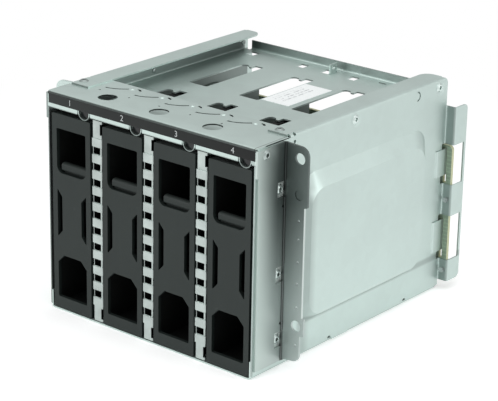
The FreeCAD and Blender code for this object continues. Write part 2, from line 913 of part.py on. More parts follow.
# Divider: a sheet whose front is folded into a hem that carries the shielding strip
def divider(centre):
    hem_half = strip_width / 2 - strip_sheet - strip_bulge
    hem_front = front + strip_sheet + strip_bulge
    path = [
        (centre - hem_half, hem_front + hem_leg),
        (centre - hem_half, hem_front),
        (centre + hem_half, hem_front),
        (centre + hem_half, deep(divider_depth)),
    ]
    panel = bent_sheet(path, "xy", sheet, strip_top)
    web = centre + hem_half
    slot_low = strip_window_first - strip_window_pitch / 2
    slot_high = slot_low + strip_window_count * strip_window_pitch
    rear = deep(divider_depth) + 1
    cutters = [
        box(centre - hem_slot_width / 2, centre + hem_slot_width / 2, front, hem_front + 2 * sheet,
            slot_low, slot_high),
        box(centre - strip_width, centre + strip_width, deep(roof_front) - seat_gap, rear,
            roof_bottom, strip_top + 1),
    ]
    for low, high in strip_notches():
        cutters.append(box(centre + strip_width / 2 - strip_notch_width, centre + strip_width / 2, front,
                           front + strip_leg / 2, low, high))
    window_front = deep(divider_window_front)
    window_rear = deep(divider_depth - divider_window_rear_margin)
    window = rounded_box(window_front, window_rear, divider_window_low, divider_window_high,
                         divider_window_corner)
    cutters.append(prism(window, "yz", web - 2 * sheet, web + sheet))
    slot_high = roof_bottom - divider_slot_drop
    slot_low = slot_high - divider_slot_height
    for n in range(divider_slot_count):
        slot_rear = deep(divider_depth - divider_slot_rear_margin - divider_slot_pitch * n)
        slot = rounded_box(slot_rear - divider_slot_width, slot_rear, slot_low, slot_high,
                           divider_slot_corner)
        cutters.append(prism(slot, "yz", web - 2 * sheet, web + sheet))
    panel = without(panel, cutters)
    ribs = []
    rib_half = divider_rib_width / 2
    for height in (divider_low_rib, roof_bottom - divider_high_rib_drop):
        bead = rounded_box(deep(divider_rib_front), deep(divider_depth - divider_rib_rear_margin),
                           height - rib_half, height + rib_half, rib_half - seat_gap)
        ribs.append(prism(bead, "yz", web - sheet - divider_rib_height, web - sheet / 2))
    return joined([panel] + ribs)


# Springy shielding strip: a channel over the hem with a ladder of windows and bulging rungs
def shielding_strip(centre):
    half = strip_width / 2
    low = strip_bottom

    def channel(inset, z_low, z_high, thickness):
        side = half - inset
        path = [
            (centre - side, front + strip_leg),
            (centre - side, front + inset),
            (centre + side, front + inset),
            (centre + side, front + strip_leg),
        ]
        return bent_sheet(path, "xy", z_low, z_high, thickness)

    strip = channel(strip_bulge, low, strip_top, strip_sheet)
    rungs = []
    cutters = []
    for n in range(strip_window_count + 1):
        height = strip_window_first + (n - 0.5) * strip_window_pitch
        rungs.append(channel(0, height - strip_rung_height / 2, height + strip_rung_height / 2,
                             strip_bulge + strip_sheet / 2))
    for n in range(strip_window_count):
        height = strip_window_first + n * strip_window_pitch
        cutters.append(box(centre - strip_window_width / 2, centre + strip_window_width / 2, front - 1,
                           front + 2 * bend_radius, height - strip_window_height / 2,
                           height + strip_window_height / 2))
        cutters.append(box(centre - half - 1, centre + half + 1, front + 2, front + strip_leg + 1,
                           height - strip_finger_slit / 2, height + strip_finger_slit / 2))
    for notch_low, notch_high in strip_notches():
        cutters.append(box(centre + half - strip_notch_width, centre + half + 1, front - 1,
                           front + strip_leg + 1, notch_low, notch_high))
    return without(joined([strip] + rungs), cutters)


# Right mounting bracket: a leg on the wall and an ear that faces the front
def right_bracket():
    leg_face = half_width + bracket_sheet
    path = [(leg_face, front), (leg_face, deep(ear_set_back)), (ear_edge, deep(ear_set_back))]
    top = cage_height - bracket_top_drop
    bracket = bent_sheet(path, "xy", 0, cage_height, bracket_sheet)
    shape = [
        (half_width - 1, bracket_bottom),
        (leg_face + bend_radius, bracket_bottom),
        (leg_face + 2 * bend_radius, ear_bottom),
        (ear_edge - ear_low_step, ear_bottom + ear_low_rise, ear_low_corner),
        (ear_edge - ear_low_step, ear_foot_bottom, ear_small_corner),
        (ear_edge - ear_foot_step, ear_foot_bottom, ear_small_corner),
        (ear_edge - ear_foot_step, ear_foot_top, ear_small_corner),
        (ear_edge - ear_middle_step, ear_foot_top, ear_small_corner),
        (ear_edge - ear_middle_step, ear_shoulder, ear_small_corner),
        (ear_edge, ear_shoulder, ear_small_corner),
        (ear_edge, top - ear_top_drop, ear_corner),
        (half_width - 1, top),
    ]
    bracket = bracket.common(prism(shape, "xz", front - 1, deep(ear_set_back) + 5))
    ear_y = deep(ear_set_back)
    nose = top - bracket_nose_height
    cutters = [box(half_width - 1, leg_face + 1, front - 1, deep(bracket_front_gap), 0, nose)]
    for height in ear_hole_heights:
        cutters.append(rod((ear_hole_x, ear_y - 2, height), (0, 1, 0), ear_hole_radius, 6))
    for height in ear_pilot_heights:
        cutters.append(rod((ear_hole_x, ear_y - 2, height), (0, 1, 0), ear_pilot_radius, 6))
    for height in bracket_window_heights:
        cutters.append(box(half_width - 1, leg_face + 0.3, ear_y - bracket_window_width, ear_y - 0.1,
                           height - bracket_window_height / 2, height + bracket_window_height / 2))
    for height in bend_dart_heights:
        cutters.append(rod((leg_face - 2, ear_y - 1.2, height), (1, 0, 0), bend_dart_radius, 5))
    cutters.append(rod((ear_hole_x, ear_y - 1, ear_dimple_height), (0, 1, 0), ear_dimple_radius,
                       1 + ear_dimple_depth))
    boss = rod((ear_hole_x, ear_y + bracket_sheet, ear_dimple_height), (0, 1, 0), ear_dimple_radius,
               ear_dimple_depth)
    bracket = joined([without(bracket, cutters), boss])
    return without(bracket, rivet_cuts(bracket_rivet_places()))


# Face openings of a blank, as corner lists in the plane of the face
def blank_face_cuts(left):
    right = left + blank_width
    low_x = left + blank_window_margin
    high_x = right - blank_window_margin
    upper = [
        (low_x, pocket_low, pocket_corner),
        (high_x, pocket_low, pocket_corner),
        (high_x, upper_window_high, blank_window_corner),
        (low_x, upper_window_high, blank_window_corner),
    ]
    chamfer = lower_window_chamfer
    lower = [
        (low_x, lower_window_low, blank_window_corner),
        (high_x, lower_window_low, blank_window_corner),
        (high_x, lower_window_high - chamfer, blank_window_corner),
        (high_x - chamfer, lower_window_high, blank_window_corner),
        (low_x + chamfer, lower_window_high, blank_window_corner),
        (low_x, lower_window_high - chamfer, blank_window_corner),
    ]
    left_slot = [
        (low_x, side_slot_low, side_slot_corner),
        (low_x + side_slot_width, side_slot_low + side_slot_chamfer, side_slot_corner),
        (low_x + side_slot_width, side_slot_high - side_slot_chamfer, side_slot_corner),
        (low_x, side_slot_high, side_slot_corner),
    ]
    right_slot = [(left + right - corner[0], corner[1], corner[2]) for corner in left_slot]
    return [upper, lower, left_slot, right_slot]


# Rounded finger bar across the pocket of a blank, rooted behind the face
def finger_bar(left):
    face = deep(blank_set_back)
    nose = face + finger_bar_set_back
    low = pocket_low + finger_bar_gap
    root = face + blank_face
    back = face + finger_bar_depth
    rib_low = pocket_low - finger_bar_rib
    profile = [
        (nose, upper_window_low, finger_bar_round),
        (nose, low, finger_bar_low_round),
        (root + finger_bar_root, low),
        (root + finger_bar_root, pocket_low),
        (root - finger_bar_root, pocket_low),
        (root - finger_bar_root, rib_low),
        (back, rib_low),
        (back, upper_window_low, finger_bar_round),
    ]
    bar_left = left + blank_window_margin + finger_bar_left
    bar_right = left + blank_width - blank_window_margin
    bar_end = bar_right + finger_bar_root
    bar = prism(profile, "yz", bar_left, bar_end)
    ends = [
        (bar_left, upper_window_low + 1, finger_bar_end_round),
        (bar_left, rib_low - 1),
        (bar_end, rib_low - 1),
        (bar_end, upper_window_low + 1),
    ]
    return bar.common(prism(ends, "xz", face - 1, back + 1))


# Drive blank: a moulded box open at the back, with skids that guide it in its bay
def drive_blank(centre):
    left = centre - blank_width / 2
    right = centre + blank_width / 2
    face = deep(blank_set_back)
    back = face + blank_body_depth
    tail = face + blank_depth
    body = prism(rounded_box(left, right, blank_bottom, blank_top, blank_corner), "xz", face, tail)
    inner = box(left + blank_wall, right - blank_wall, face + blank_face, tail + 1,
                blank_bottom + blank_wall, blank_top - blank_wall)
    skid_low = blank_bottom + blank_skid_height
    skid_high = blank_top - blank_skid_height
    side_gap = [
        (back, skid_low),
        (tail + 1, skid_low),
        (tail + 1, skid_high),
        (back, skid_high),
    ]
    tail_corners = [
        (tail - blank_skid_nose, blank_bottom - 1),
        (tail + 1, blank_bottom - 1),
        (tail + 1, blank_bottom + blank_skid_taper),
    ]
    top_corners = [(y, blank_top + blank_bottom - z) for y, z in tail_corners]
    deck_low = blank_bottom - 1
    cutters = [
        inner,
        prism(side_gap, "yz", left - 1, right + 1),
        prism(tail_corners, "yz", left - 1, right + 1),
        prism(top_corners, "yz", left - 1, right + 1),
        box(left + 2 * blank_wall, right - 2 * blank_wall, back, tail + 1, deck_low, blank_top + 1),
    ]
    body = without(body, cutters)
    root = blank_wall / 2
    baffle = box(left + root, right - root, face + baffle_depth, face + baffle_depth + rib_thickness,
                 blank_bottom + root, blank_top - root)
    slots = []
    low_start = blank_bottom + baffle_slot_margin
    high_start = blank_top - baffle_slot_margin - baffle_slot_length
    for n in range(baffle_slot_count):
        x = centre + (n - (baffle_slot_count - 1) / 2) * baffle_slot_pitch
        for start in (low_start, high_start):
            slots.append(box(x - baffle_slot_width / 2, x + baffle_slot_width / 2, face, back, start,
                             start + baffle_slot_length))
    ribs = [without(baffle, slots)]
    for height in (lower_window_high + rib_over_lower_window, pocket_low - rib_under_pocket):
        ribs.append(box(left + root, right - root, face + blank_face / 2, face + rib_length,
                        height, height + rib_thickness))
    body = joined([body] + ribs)
    inside = face + blank_face + 0.01
    cutters = [prism(corners, "xz", face - 1, inside) for corners in blank_face_cuts(left)]
    for rise in wall_slot_rises:
        height = blank_bottom + rise
        cutters.append(box(left - 1, left + blank_wall + 1, face + wall_slot_depth,
                           face + wall_slot_depth + wall_slot_length, height, height + wall_slot_height))
    slit_top = blank_top + 1
    slit_low = blank_top - blank_wall - 0.01
    tongue = face + latch_depth
    for side in (-1, 1):
        edge = centre + side * latch_width / 2
        cutters.append(box(edge - latch_slit / 2, edge + latch_slit / 2, tongue, tongue + latch_length,
                           slit_low, slit_top))
    cutters.append(box(centre - latch_width / 2, centre + latch_width / 2, tongue, tongue + latch_slit,
                       slit_low, slit_top))
    return joined([without(body, cutters), finger_bar(left)])


def board_slots():
    slots = []
    rear = deep(board_back_depth) + 1
    for low, high in rear_windows:
        slot = box(inner_half_width + hook_joggle - board_slot_gap,
                   half_width + hook_joggle + board_slot_gap, deep(wall_depth), rear,
                   low + board_slot_gap, high - hook_margin_high + board_slot_gap)
        slots.extend([slot, mirrored(slot)])
    return slots


def screw_places():
    x = half_width + (rear_flange_reach - sheet) / 2
    return [(side * x, height) for side in (-1, 1) for height in board_screw_heights]


def backplane_board():
    edge = rear_flange_edge - sheet - board_edge_gap
    corners = rounded_box(-edge, edge, board_bottom, board_top, board_corner)
    board = prism(corners, "xz", deep(board_front_depth), deep(board_back_depth))
    cutters = board_slots()
    half_vent = board_vent_width / 2
    for centre in divider_centres:
        vent = rounded_box(centre - half_vent, centre + half_vent, board_vent_low, board_vent_high,
                           half_vent - seat_gap)
        cutters.append(prism(vent, "xz", deep(wall_depth), deep(board_back_depth) + 1))
    for x, height in screw_places():
        cutters.append(rod((x, deep(wall_depth), height), (0, 1, 0), screw_radius, board_thickness + 5))
    return without(board, cutters)


def backplane_screws():
    screws = []
    for x, height in screw_places():
        shank = rod((x, deep(wall_depth) - 1, height), (0, 1, 0), screw_radius, sheet + board_thickness + 1)
        head = Part.makeCone(screw_head_radius, 0.7 * screw_head_radius, screw_head_height,
                             FreeCAD.Vector(x, deep(board_back_depth), height), FreeCAD.Vector(0, 1, 0))
        screws.append(shank.fuse(head).removeSplitter())
    return Part.makeCompound(screws)


def screw_cuts():
    start = deep(wall_depth) - 2
    return [rod((x, start, height), (0, 1, 0), screw_radius, 6) for x, height in screw_places()]


# Socket for one drive: a shell open to the front, with a tongue inside and a guide post at each end
def drive_socket(centre):
    x = centre + drive_socket_shift
    half = drive_socket_width / 2
    low = drive_socket_middle - drive_socket_height / 2
    high = drive_socket_middle + drive_socket_height / 2
    back = deep(board_front_depth)
    face = back - drive_socket_depth
    wall = drive_socket_wall
    shell = rounded_box(x - half, x + half, low, high, drive_socket_corner)
    body = prism(shell, "xz", face, back)
    inner_low = low + drive_socket_end_wall
    inner_high = high - drive_socket_end_wall
    cutters = [box(x - half + wall, x + half - wall, face - 1, back - drive_socket_floor,
                   inner_low, inner_high)]
    tongue = box(x - wall, x, face + wall, back - wall, inner_low + wall, inner_high - wall)
    for start in (low + wall, high - wall - drive_socket_guide_width):
        cutters.append(box(x - half - 1, x + half + 1, face - 1, face + drive_socket_guide_depth, start,
                           start + drive_socket_guide_width))
    return joined([without(body, cutters), tongue])


def rear_socket(x, height, width, tall, reach, wall, rows):
    back = deep(board_back_depth)
    body = box(x - width / 2, x + width / 2, back, back + reach, height - tall / 2, height + tall / 2)
    cavities = []
    across = width - 2 * wall
    cell = across / rows
    for n in range(rows):
        low_x = x - across / 2 + n * cell
        cavities.append(box(low_x + wall / 3, low_x + cell - wall / 3, back + rear_socket_floor,
                            back + reach + 1, height - tall / 2 + wall, height + tall / 2 - wall))
    return without(body, cavities)


def data_socket():
    return rear_socket(-bay_pitch, rear_parts_middle, data_socket_width, data_socket_height,
                       data_socket_depth, data_socket_wall, 1)


def power_socket():
    return rear_socket(bay_pitch, rear_parts_middle, power_socket_width, power_socket_height,
                       power_socket_depth, power_socket_wall, power_socket_ways)


def signal_header():
    header = rear_socket(0, rear_parts_middle, header_width, header_height, header_depth, header_wall, 1)
    pins = []
    back = deep(board_back_depth)
    half_pin = header_pin_width / 2
    tip = back + header_depth - header_pin_recess
    for n in range(header_pin_columns):
        x = (n - (header_pin_columns - 1) / 2) * header_pin_pitch
        for row in (-1, 1):
            z = rear_parts_middle + row * header_pin_pitch / 2
            pins.append(box(x - half_pin, x + half_pin, back + 1, tip, z - half_pin, z + half_pin))
    return joined([header] + pins)


def capacitors():
    cans = []
    back = deep(board_back_depth)
    for n in range(bay_count):
        x = bay_pitch * (n - (bay_count - 1) / 2)
        can = rod((x, back, board_bottom + capacitor_rise), (0, 1, 0), capacitor_radius, capacitor_length)
        rim = [edge for edge in can.Edges if edge.BoundBox.YMin > back + capacitor_length / 2]
        can = can.makeFillet(capacitor_round, rim)
        cans.append(can)
    return Part.makeCompound(cans)


def blank_sticker():
    y = deep(sticker_start)
    return box(sticker_left, sticker_left + sticker_width, y, y + sticker_length, roof_top,
               roof_top + sticker_thickness)


def cage_parts():
    right_wall = without(side_wall(1), screw_cuts())
    left_wall = without(side_wall(-1), screw_cuts())
    bracket = right_bracket()
    parts = {
        "left_side_wall": left_wall,
        "right_side_wall": right_wall,
        "top_plate": top_plate(),
        "front_top_plate": front_top_plate(),
        "bottom_plate": bottom_plate(),
        "label_strip": label_strip(),
        "indicator_lenses": indicator_lenses(),
        "right_ear_bracket": bracket,
        "left_ear_bracket": mirrored(bracket),
        "backplane_board": backplane_board(),
        "backplane_screws": backplane_screws(),
        "backplane_data_socket": data_socket(),
        "backplane_power_socket": power_socket(),
        "backplane_signal_header": signal_header(),
        "backplane_capacitors": capacitors(),
        "roof_sticker": blank_sticker(),
        "wall_rivets": make_rivets(wall_rivet_places()),
        "front_plate_rivets": make_rivets(front_rivet_places()),
        "bracket_rivets": make_rivets(bracket_rivet_places()),
        "bracket_window_rivets": make_rivets(window_stud_places()),
    }
    for number, centre in enumerate(divider_centres, 1):
        parts[f"divider_{number}"] = divider(centre)
        parts[f"shielding_strip_{number}"] = shielding_strip(centre)
    for number, centre in enumerate(bay_centres(), 1):
        parts[f"drive_blank_{number}"] = drive_blank(centre)
        parts[f"drive_socket_{number}"] = drive_socket(centre)
    return parts


os.makedirs("parts", exist_ok=True)
for name, shape in cage_parts().items():
    shape.exportStep(f"parts/{name}.step")
    count = len(shape.Solids)
    print(name, "solids", count, "volume", round(shape.Volume, 1), "valid", shape.isValid())
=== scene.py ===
import math

import bpy
from bpy.props import (
    FloatProperty,
    FloatVectorProperty,
    IntProperty,
    PointerProperty,
)
from mathutils import Matrix, Vector


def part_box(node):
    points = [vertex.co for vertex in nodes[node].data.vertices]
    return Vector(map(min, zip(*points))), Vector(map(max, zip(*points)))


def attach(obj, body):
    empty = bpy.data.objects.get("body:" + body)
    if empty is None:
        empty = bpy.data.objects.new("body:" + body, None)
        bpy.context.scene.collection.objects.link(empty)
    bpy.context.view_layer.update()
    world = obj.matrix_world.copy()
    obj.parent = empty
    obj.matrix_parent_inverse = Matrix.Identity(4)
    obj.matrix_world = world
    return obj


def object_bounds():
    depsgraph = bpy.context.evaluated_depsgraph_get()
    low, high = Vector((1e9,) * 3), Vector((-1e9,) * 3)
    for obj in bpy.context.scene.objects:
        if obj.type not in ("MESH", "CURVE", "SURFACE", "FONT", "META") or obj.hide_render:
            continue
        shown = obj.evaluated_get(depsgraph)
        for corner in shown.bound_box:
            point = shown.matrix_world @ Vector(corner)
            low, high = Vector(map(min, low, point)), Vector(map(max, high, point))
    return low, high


bl_info = {
    "name": "Hot swap drive cage",
    "version": (1, 0, 0),
    "blender": (4, 5, 0),
    "location": "3D View > Sidebar > Drive Cage",
    "description": "Finishes, small parts and studio for a hot swap drive cage",
    "category": "Object",
}

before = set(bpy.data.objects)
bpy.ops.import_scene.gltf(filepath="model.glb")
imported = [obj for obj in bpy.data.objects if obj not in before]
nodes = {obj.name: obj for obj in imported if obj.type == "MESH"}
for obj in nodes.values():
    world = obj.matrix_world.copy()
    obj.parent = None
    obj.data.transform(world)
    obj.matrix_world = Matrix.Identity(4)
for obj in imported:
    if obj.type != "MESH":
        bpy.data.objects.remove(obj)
solid_low, solid_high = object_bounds()

CAGE = "cage"
BAYS = (1, 2, 3, 4)
DIVIDERS = (1, 2, 3)

# Thickness of the sheets

SHEET = 0.0008

# Places on the cage that its painted shade and light follow, in metres behind the lip or above the base

LEFT_FLANGE_START = 0.0160
RIGHT_FLANGE_START = 0.0250
FRONT_PLATE_END = 0.034
WALL_END = 0.162
NOTCH_DEPTHS = (0.0633, 0.1302)
NOTCH_HEIGHT = 0.0020
BRACKET_WINDOW_HEIGHTS = (0.0166, 0.0519, 0.0968)

# Axis of the rolling grain of a sheet

ALONG_X, ALONG_Y, ALONG_Z = 0, 1, 2

# Span in which the values of a noise texture mostly lie

NOISE_SPAN = (0.3, 0.7)

# Printed numbers: letter size over the height of a digit, and thickness of the ink

LETTER_SIZE = 1.38
INK = 0.00001

# Floor: half width, glow in the picture, and where it turns to the white of the room

FLOOR_REACH = 6.0
FLOOR_GLOW = 0.42
FLOOR_FADE = (0.16, 0.42)

# Camera fitted to the photograph, placed from the front of the shielding strips

CAMERA_PLACE = (0.64269, -0.70204, 0.43139)
CAMERA_FORWARD = (-0.59787, 0.72330, -0.34552)
CAMERA_ROLL = 1.04
CAMERA_LENS = 144.6
CAMERA_SHIFT = (0.0132, -0.0074)


# Sizes and colours that a user would change


def colour_value(name, description, default):
    return FloatVectorProperty(
        name=name, description=description, subtype="COLOR", size=3, min=0, max=1, default=default
    )


def length_value(name, description, default):
    return FloatProperty(name=name, description=description, unit="LENGTH", default=default)


class DriveCageFinishes(bpy.types.PropertyGroup):
    """Colours of the cage's finishes."""

    steel: colour_value("Zinc sheet", "Colour of the galvanised sheets", (0.54, 0.64, 0.61))
    # The right ear bracket's dark colour is painted shade for the dark that its ear reflects; its foot and
    # leg colours are painted light laid over it
    bracket: colour_value(
        "Bracket steel", "Colour of the thicker sheet of the ear brackets", (0.13, 0.157, 0.15)
    )
    bracket_foot: colour_value(
        "Bracket foot", "Colour of the ear brackets near the base", (0.43, 0.485, 0.47)
    )
    bracket_leg: colour_value(
        "Bracket leg", "Colour of the ear brackets at the front edge of the leg", (0.50, 0.58, 0.55)
    )
    spring: colour_value("Spring steel", "Colour of the shielding strips", (0.47, 0.53, 0.51))
    blank: colour_value("Blank plastic", "Colour of the moulded drive blanks", (0.014, 0.021, 0.019))
    label: colour_value("Label film", "Colour of the printed strip over the bays", (0.021, 0.025, 0.024))
    board: colour_value("Solder mask", "Colour of the backplane's faces", (0.26, 0.34, 0.25))
    laminate: colour_value(
        "Board edge", "Colour of the bare laminate at the board's edges", (0.62, 0.64, 0.42)
    )


class DriveCageDetails(bpy.types.PropertyGroup):
    """Sizes of the small parts that are added to the cage."""

    number_height: length_value("Number height", "Height of the bay numbers on the label", 0.0032)
    number_pitch: length_value("Number pitch", "Distance between the bay numbers on the label", 0.0367)
    number_shift: length_value(
        "Number shift", "Shift of the row of numbers to the right of the cage's middle", 0.0009
    )
    contact_pitch: length_value(
        "Contact pitch", "Distance between the contacts of a drive socket", 0.00127
    )
    contact_count: IntProperty(
        name="Contacts",
        description="Contacts on each side of a drive socket's tongue",
        default=22,
        min=1,
    )
    contact_width: length_value("Contact width", "Width of one contact", 0.0007)
    tail_radius: length_value(
        "Rivet tail radius", "Radius of the set tails of the wall rivets", 0.0017
    )
    solder_radius: length_value(
        "Solder radius", "Radius of one solder joint on the back of the board", 0.0005
    )
    chip_length: length_value("Chip length", "Length of the largest chip part on the board", 0.0026)
    chip_spacing: length_value("Chip spacing", "Least distance between chip parts", 0.0058)
    chip_seed: IntProperty(
        name="Chip seed", description="Seed of the places of the chip parts", default=7
    )


class DriveCageStudio(bpy.types.PropertyGroup):
    """Light, floor and background."""

    top_power: FloatProperty(
        name="Top light",
        description="Power of the wide light above the cage",
        subtype="POWER",
        default=8.2,
    )
    side_power: FloatProperty(
        name="Side light",
        description="Power of the wide light to the right of the cage",
        subtype="POWER",
        default=4.5,
    )
    front_power: FloatProperty(
        name="Front light",
        description="Power of the weak light in front of the cage",
        subtype="POWER",
        default=6,
    )
    fill: FloatProperty(
        name="Room light",
        description="Strength of the room's even light",
        default=0.24,
    )
    mirrored_room: FloatProperty(
        name="Room in reflections",
        description="Strength of the room as the metal reflects it",
        default=0.6,
    )
    floor: colour_value("Floor", "Colour of the floor", (0.82, 0.83, 0.83))


def finishes():
    return bpy.context.scene.drive_cage_finishes


def details():
    return bpy.context.scene.drive_cage_details


def studio():
    return bpy.context.scene.drive_cage_studio


# Building of materials


def feed(tree, target, value):
    if isinstance(value, bpy.types.NodeSocket):
        tree.links.new(value, target)
    else:
        target.default_value = value


def add(tree, kind, inputs=None, **settings):
    made = tree.nodes.new(kind)
    for key, value in settings.items():
        setattr(made, key, value)
    for key, value in (inputs or {}).items():
        feed(tree, made.inputs[key], value)
    return made


def new_finish(name, metallic, roughness, specular=0.5):
    material = bpy.data.materials.new(name)
    material.use_nodes = True
    tree = material.node_tree
    shader = tree.nodes["Principled BSDF"]
    shader.inputs["Metallic"].default_value = metallic
    shader.inputs["Roughness"].default_value = roughness
    shader.inputs["Specular IOR Level"].default_value = specular
    return material, tree, shader


def coat(tree, shader, colour, roughness=None, normal=None):
    """Feed the shader with what varies over the surface."""
    tree.links.new(colour, shader.inputs["Base Color"])
    if roughness is not None:
        tree.links.new(roughness, shader.inputs["Roughness"])
    if normal is not None:
        tree.links.new(normal, shader.inputs["Normal"])


def place(tree, scale=(1, 1, 1)):
    coordinates = add(tree, "ShaderNodeTexCoord")
    mapping = add(
        tree, "ShaderNodeMapping", {"Vector": coordinates.outputs["Object"], "Scale": scale}
    )
    return mapping.outputs["Vector"]


def noise(tree, vector, scale, detail=3.0, roughness=0.5):
    made = add(
        tree,
        "ShaderNodeTexNoise",
        {"Vector": vector, "Scale": scale, "Detail": detail, "Roughness": roughness},
    )
    return made.outputs["Fac"]


def cells(tree, vector, scale):
    made = add(tree, "ShaderNodeTexVoronoi", {"Vector": vector, "Scale": scale})
    grey = add(tree, "ShaderNodeSeparateColor", {"Color": made.outputs["Color"]})
    return grey.outputs["Red"]


def between(tree, value, low, high, new_low=0.0, new_high=1.0):
    made = add(
        tree,
        "ShaderNodeMapRange",
        {"Value": value, "From Min": low, "From Max": high, "To Min": new_low, "To Max": new_high},
    )
    return made.outputs["Result"]


def stretched(tree, value, new_low=0.0, new_high=1.0):
    """A noise value spread from its usual span over a new one."""
    return between(tree, value, *NOISE_SPAN, new_low, new_high)


def combine(tree, operation, first, second):
    made = add(tree, "ShaderNodeMath", {0: first, 1: second}, operation=operation)
    return made.outputs["Value"]


def weighted(tree, *parts):
    """Sum of values, each times its weight."""
    total = 0.0
    for value, weight in parts:
        total = combine(tree, "ADD", combine(tree, "MULTIPLY", value, weight), total)
    return total


def blend_colours(tree, factor, first, second, mode="MIX"):
    made = add(
        tree, "ShaderNodeMix", {0: factor, 6: first, 7: second}, data_type="RGBA", blend_type=mode
    )
    return made.outputs[2]


def shade(colour, amount):
    return tuple(min(1.0, channel * amount) for channel in colour) + (1,)


def wavering(tree, value, first, second):
    """Blend of two colours that follows a noise value."""
    return blend_colours(tree, stretched(tree, value), first, second)


def mottled(tree, value, colour, darkest, lightest):
    """The colour between two of its shades, after a noise value."""
    return wavering(tree, value, shade(colour, darkest), shade(colour, lightest))


def relief(tree, height, strength, distance, under=None):
    made = add(
        tree, "ShaderNodeBump", {"Height": height, "Strength": strength, "Distance": distance}
    )
    if under is not None:
        tree.links.new(under, made.inputs["Normal"])
    return made.outputs["Normal"]


def axis_value(tree, vector, axis):
    split = add(tree, "ShaderNodeSeparateXYZ", {"Vector": vector})
    return split.outputs[axis]


# Finishes of the cage


def zinc_sheet(name, colour, grain_axis, tones=(), roughness=0.42):
    """Skin-passed galvanised sheet: very soft spangle, rolling grain and faint waves.

    A tone paints shade or a highlight into the colour; it is a blend mode, a colour and ranges of
    object axes, each from where the tone is absent to where it is full.
    """
    material, tree, shader = new_finish(name, metallic=0.8, roughness=roughness)
    plain = place(tree)
    grain_scale = [1.0, 1.0, 1.0]
    grain_scale[grain_axis] = 0.04
    grain = noise(tree, place(tree, grain_scale), scale=1500, detail=2)
    spangle = cells(tree, plain, scale=210)
    cloud = noise(tree, plain, scale=30, detail=4)
    speckle = noise(tree, plain, scale=2600, detail=2)
    mix = weighted(tree, (cloud, 0.6), (spangle, 0.12), (speckle, 0.28))
    body = mottled(tree, mix, colour, 0.95, 1.04)
    # Painted shade and light: each tone darkens or lightens the colour over its ranges
    for mode, tone_colour, ranges in tones:
        amount = 1.0
        for axis, absent, full in ranges:
            part = between(tree, axis_value(tree, plain, axis), absent, full)
            amount = combine(tree, "MULTIPLY", part, amount)
        body = blend_colours(tree, amount, body, tuple(tone_colour) + (1,), mode)
    waves = relief(tree, noise(tree, plain, scale=18, detail=1), strength=0.15, distance=0.0008)
    fine = relief(tree, combine(tree, "ADD", grain, speckle), 0.1, 0.00003, under=waves)
    coat(tree, shader, body, stretched(tree, mix, roughness - 0.03, roughness + 0.04), fine)
    return material


def spring_finish(name, colour):
    """Thin bright spring steel with fine lines along the strip."""
    material, tree, shader = new_finish(name, metallic=0.85, roughness=0.3)
    lines = noise(tree, place(tree, (1, 1, 0.03)), scale=2600, detail=2)
    smudge = noise(tree, place(tree), scale=120, detail=4)
    body = blend_colours(tree, between(tree, smudge, 0.35, 0.7), shade(colour, 0.9), shade(colour, 1.08))
    coat(tree, shader, body, stretched(tree, smudge, 0.26, 0.4), relief(tree, lines, 0.1, 0.00003))
    return material


def blank_finish(name, colour, face_depth):
    """Spark-textured black plastic; behind the face it is plain and dull, and darkened as painted shade."""
    material, tree, shader = new_finish(name, metallic=0.0, roughness=0.5, specular=0.3)
    plain = place(tree)
    grain = noise(tree, plain, scale=2400, detail=4, roughness=0.65)
    flow = noise(tree, place(tree, (1, 1, 0.35)), scale=45)
    dust = between(tree, noise(tree, plain, scale=300, detail=6, roughness=0.75), 0.62, 0.8)
    dust_colour = (0.2, 0.22, 0.22, 1)
    fade = 0.0035
    body = mottled(tree, flow, colour, 0.92, 1.1)
    body = blend_colours(tree, combine(tree, "MULTIPLY", dust, 0.12), body, dust_colour)
    # Painted shade: behind the face the colour falls to a sixth, and the plastic is also made duller
    inside = between(tree, axis_value(tree, plain, "Y"), face_depth, face_depth + fade)
    body = blend_colours(tree, inside, body, shade(colour, 0.16))
    dull = combine(tree, "MULTIPLY", inside, 0.25)
    rough = combine(tree, "ADD", stretched(tree, grain, 0.44, 0.56), dull)
    coat(tree, shader, body, rough, relief(tree, grain, 0.3, 0.00008))
    return material


def film_finish(name, colour, low, high):
    """Printed label film with a faint weave, darker towards the right as painted shade."""
    material, tree, shader = new_finish(name, metallic=0.0, roughness=0.42, specular=0.22)
    plain = place(tree)
    speckle = noise(tree, plain, scale=3000)
    cloud = noise(tree, plain, scale=60)
    # Painted shade: the film darkens from left to right
    across = between(tree, axis_value(tree, plain, "X"), low.x, high.x)
    body = blend_colours(tree, across, mottled(tree, cloud, colour, 0.9, 1.15), shade(colour, 0.3))
    coat(tree, shader, body, stretched(tree, cloud, 0.38, 0.5), relief(tree, speckle, 0.15, 0.00003))
    return material


def print_finish(name):
    """White ink."""
    material, tree, shader = new_finish(name, metallic=0.0, roughness=0.55)
    speckle = noise(tree, place(tree), scale=4000)
    coat(tree, shader, wavering(tree, speckle, (0.40, 0.43, 0.43, 1), (0.52, 0.55, 0.55, 1)))
    return material


def lens_finish(name):
    """Smoked plastic lens."""
    material, tree, shader = new_finish(name, metallic=0.0, roughness=0.18)
    haze = noise(tree, place(tree), scale=700)
    body = wavering(tree, haze, (0.004, 0.005, 0.0055, 1), (0.009, 0.011, 0.012, 1))
    coat(tree, shader, body, stretched(tree, haze, 0.14, 0.26))
    return material


def fastener_finish(name, colour, roughness):
    """Plated fastener with small tool marks."""
    material, tree, shader = new_finish(name, metallic=0.9, roughness=roughness)
    marks = noise(tree, place(tree), scale=1400, detail=4, roughness=0.6)
    rough = stretched(tree, marks, roughness - 0.06, roughness + 0.1)
    coat(tree, shader, mottled(tree, marks, colour, 0.78, 1.08), rough, relief(tree, marks, 0.2, 0.00005))
    return material


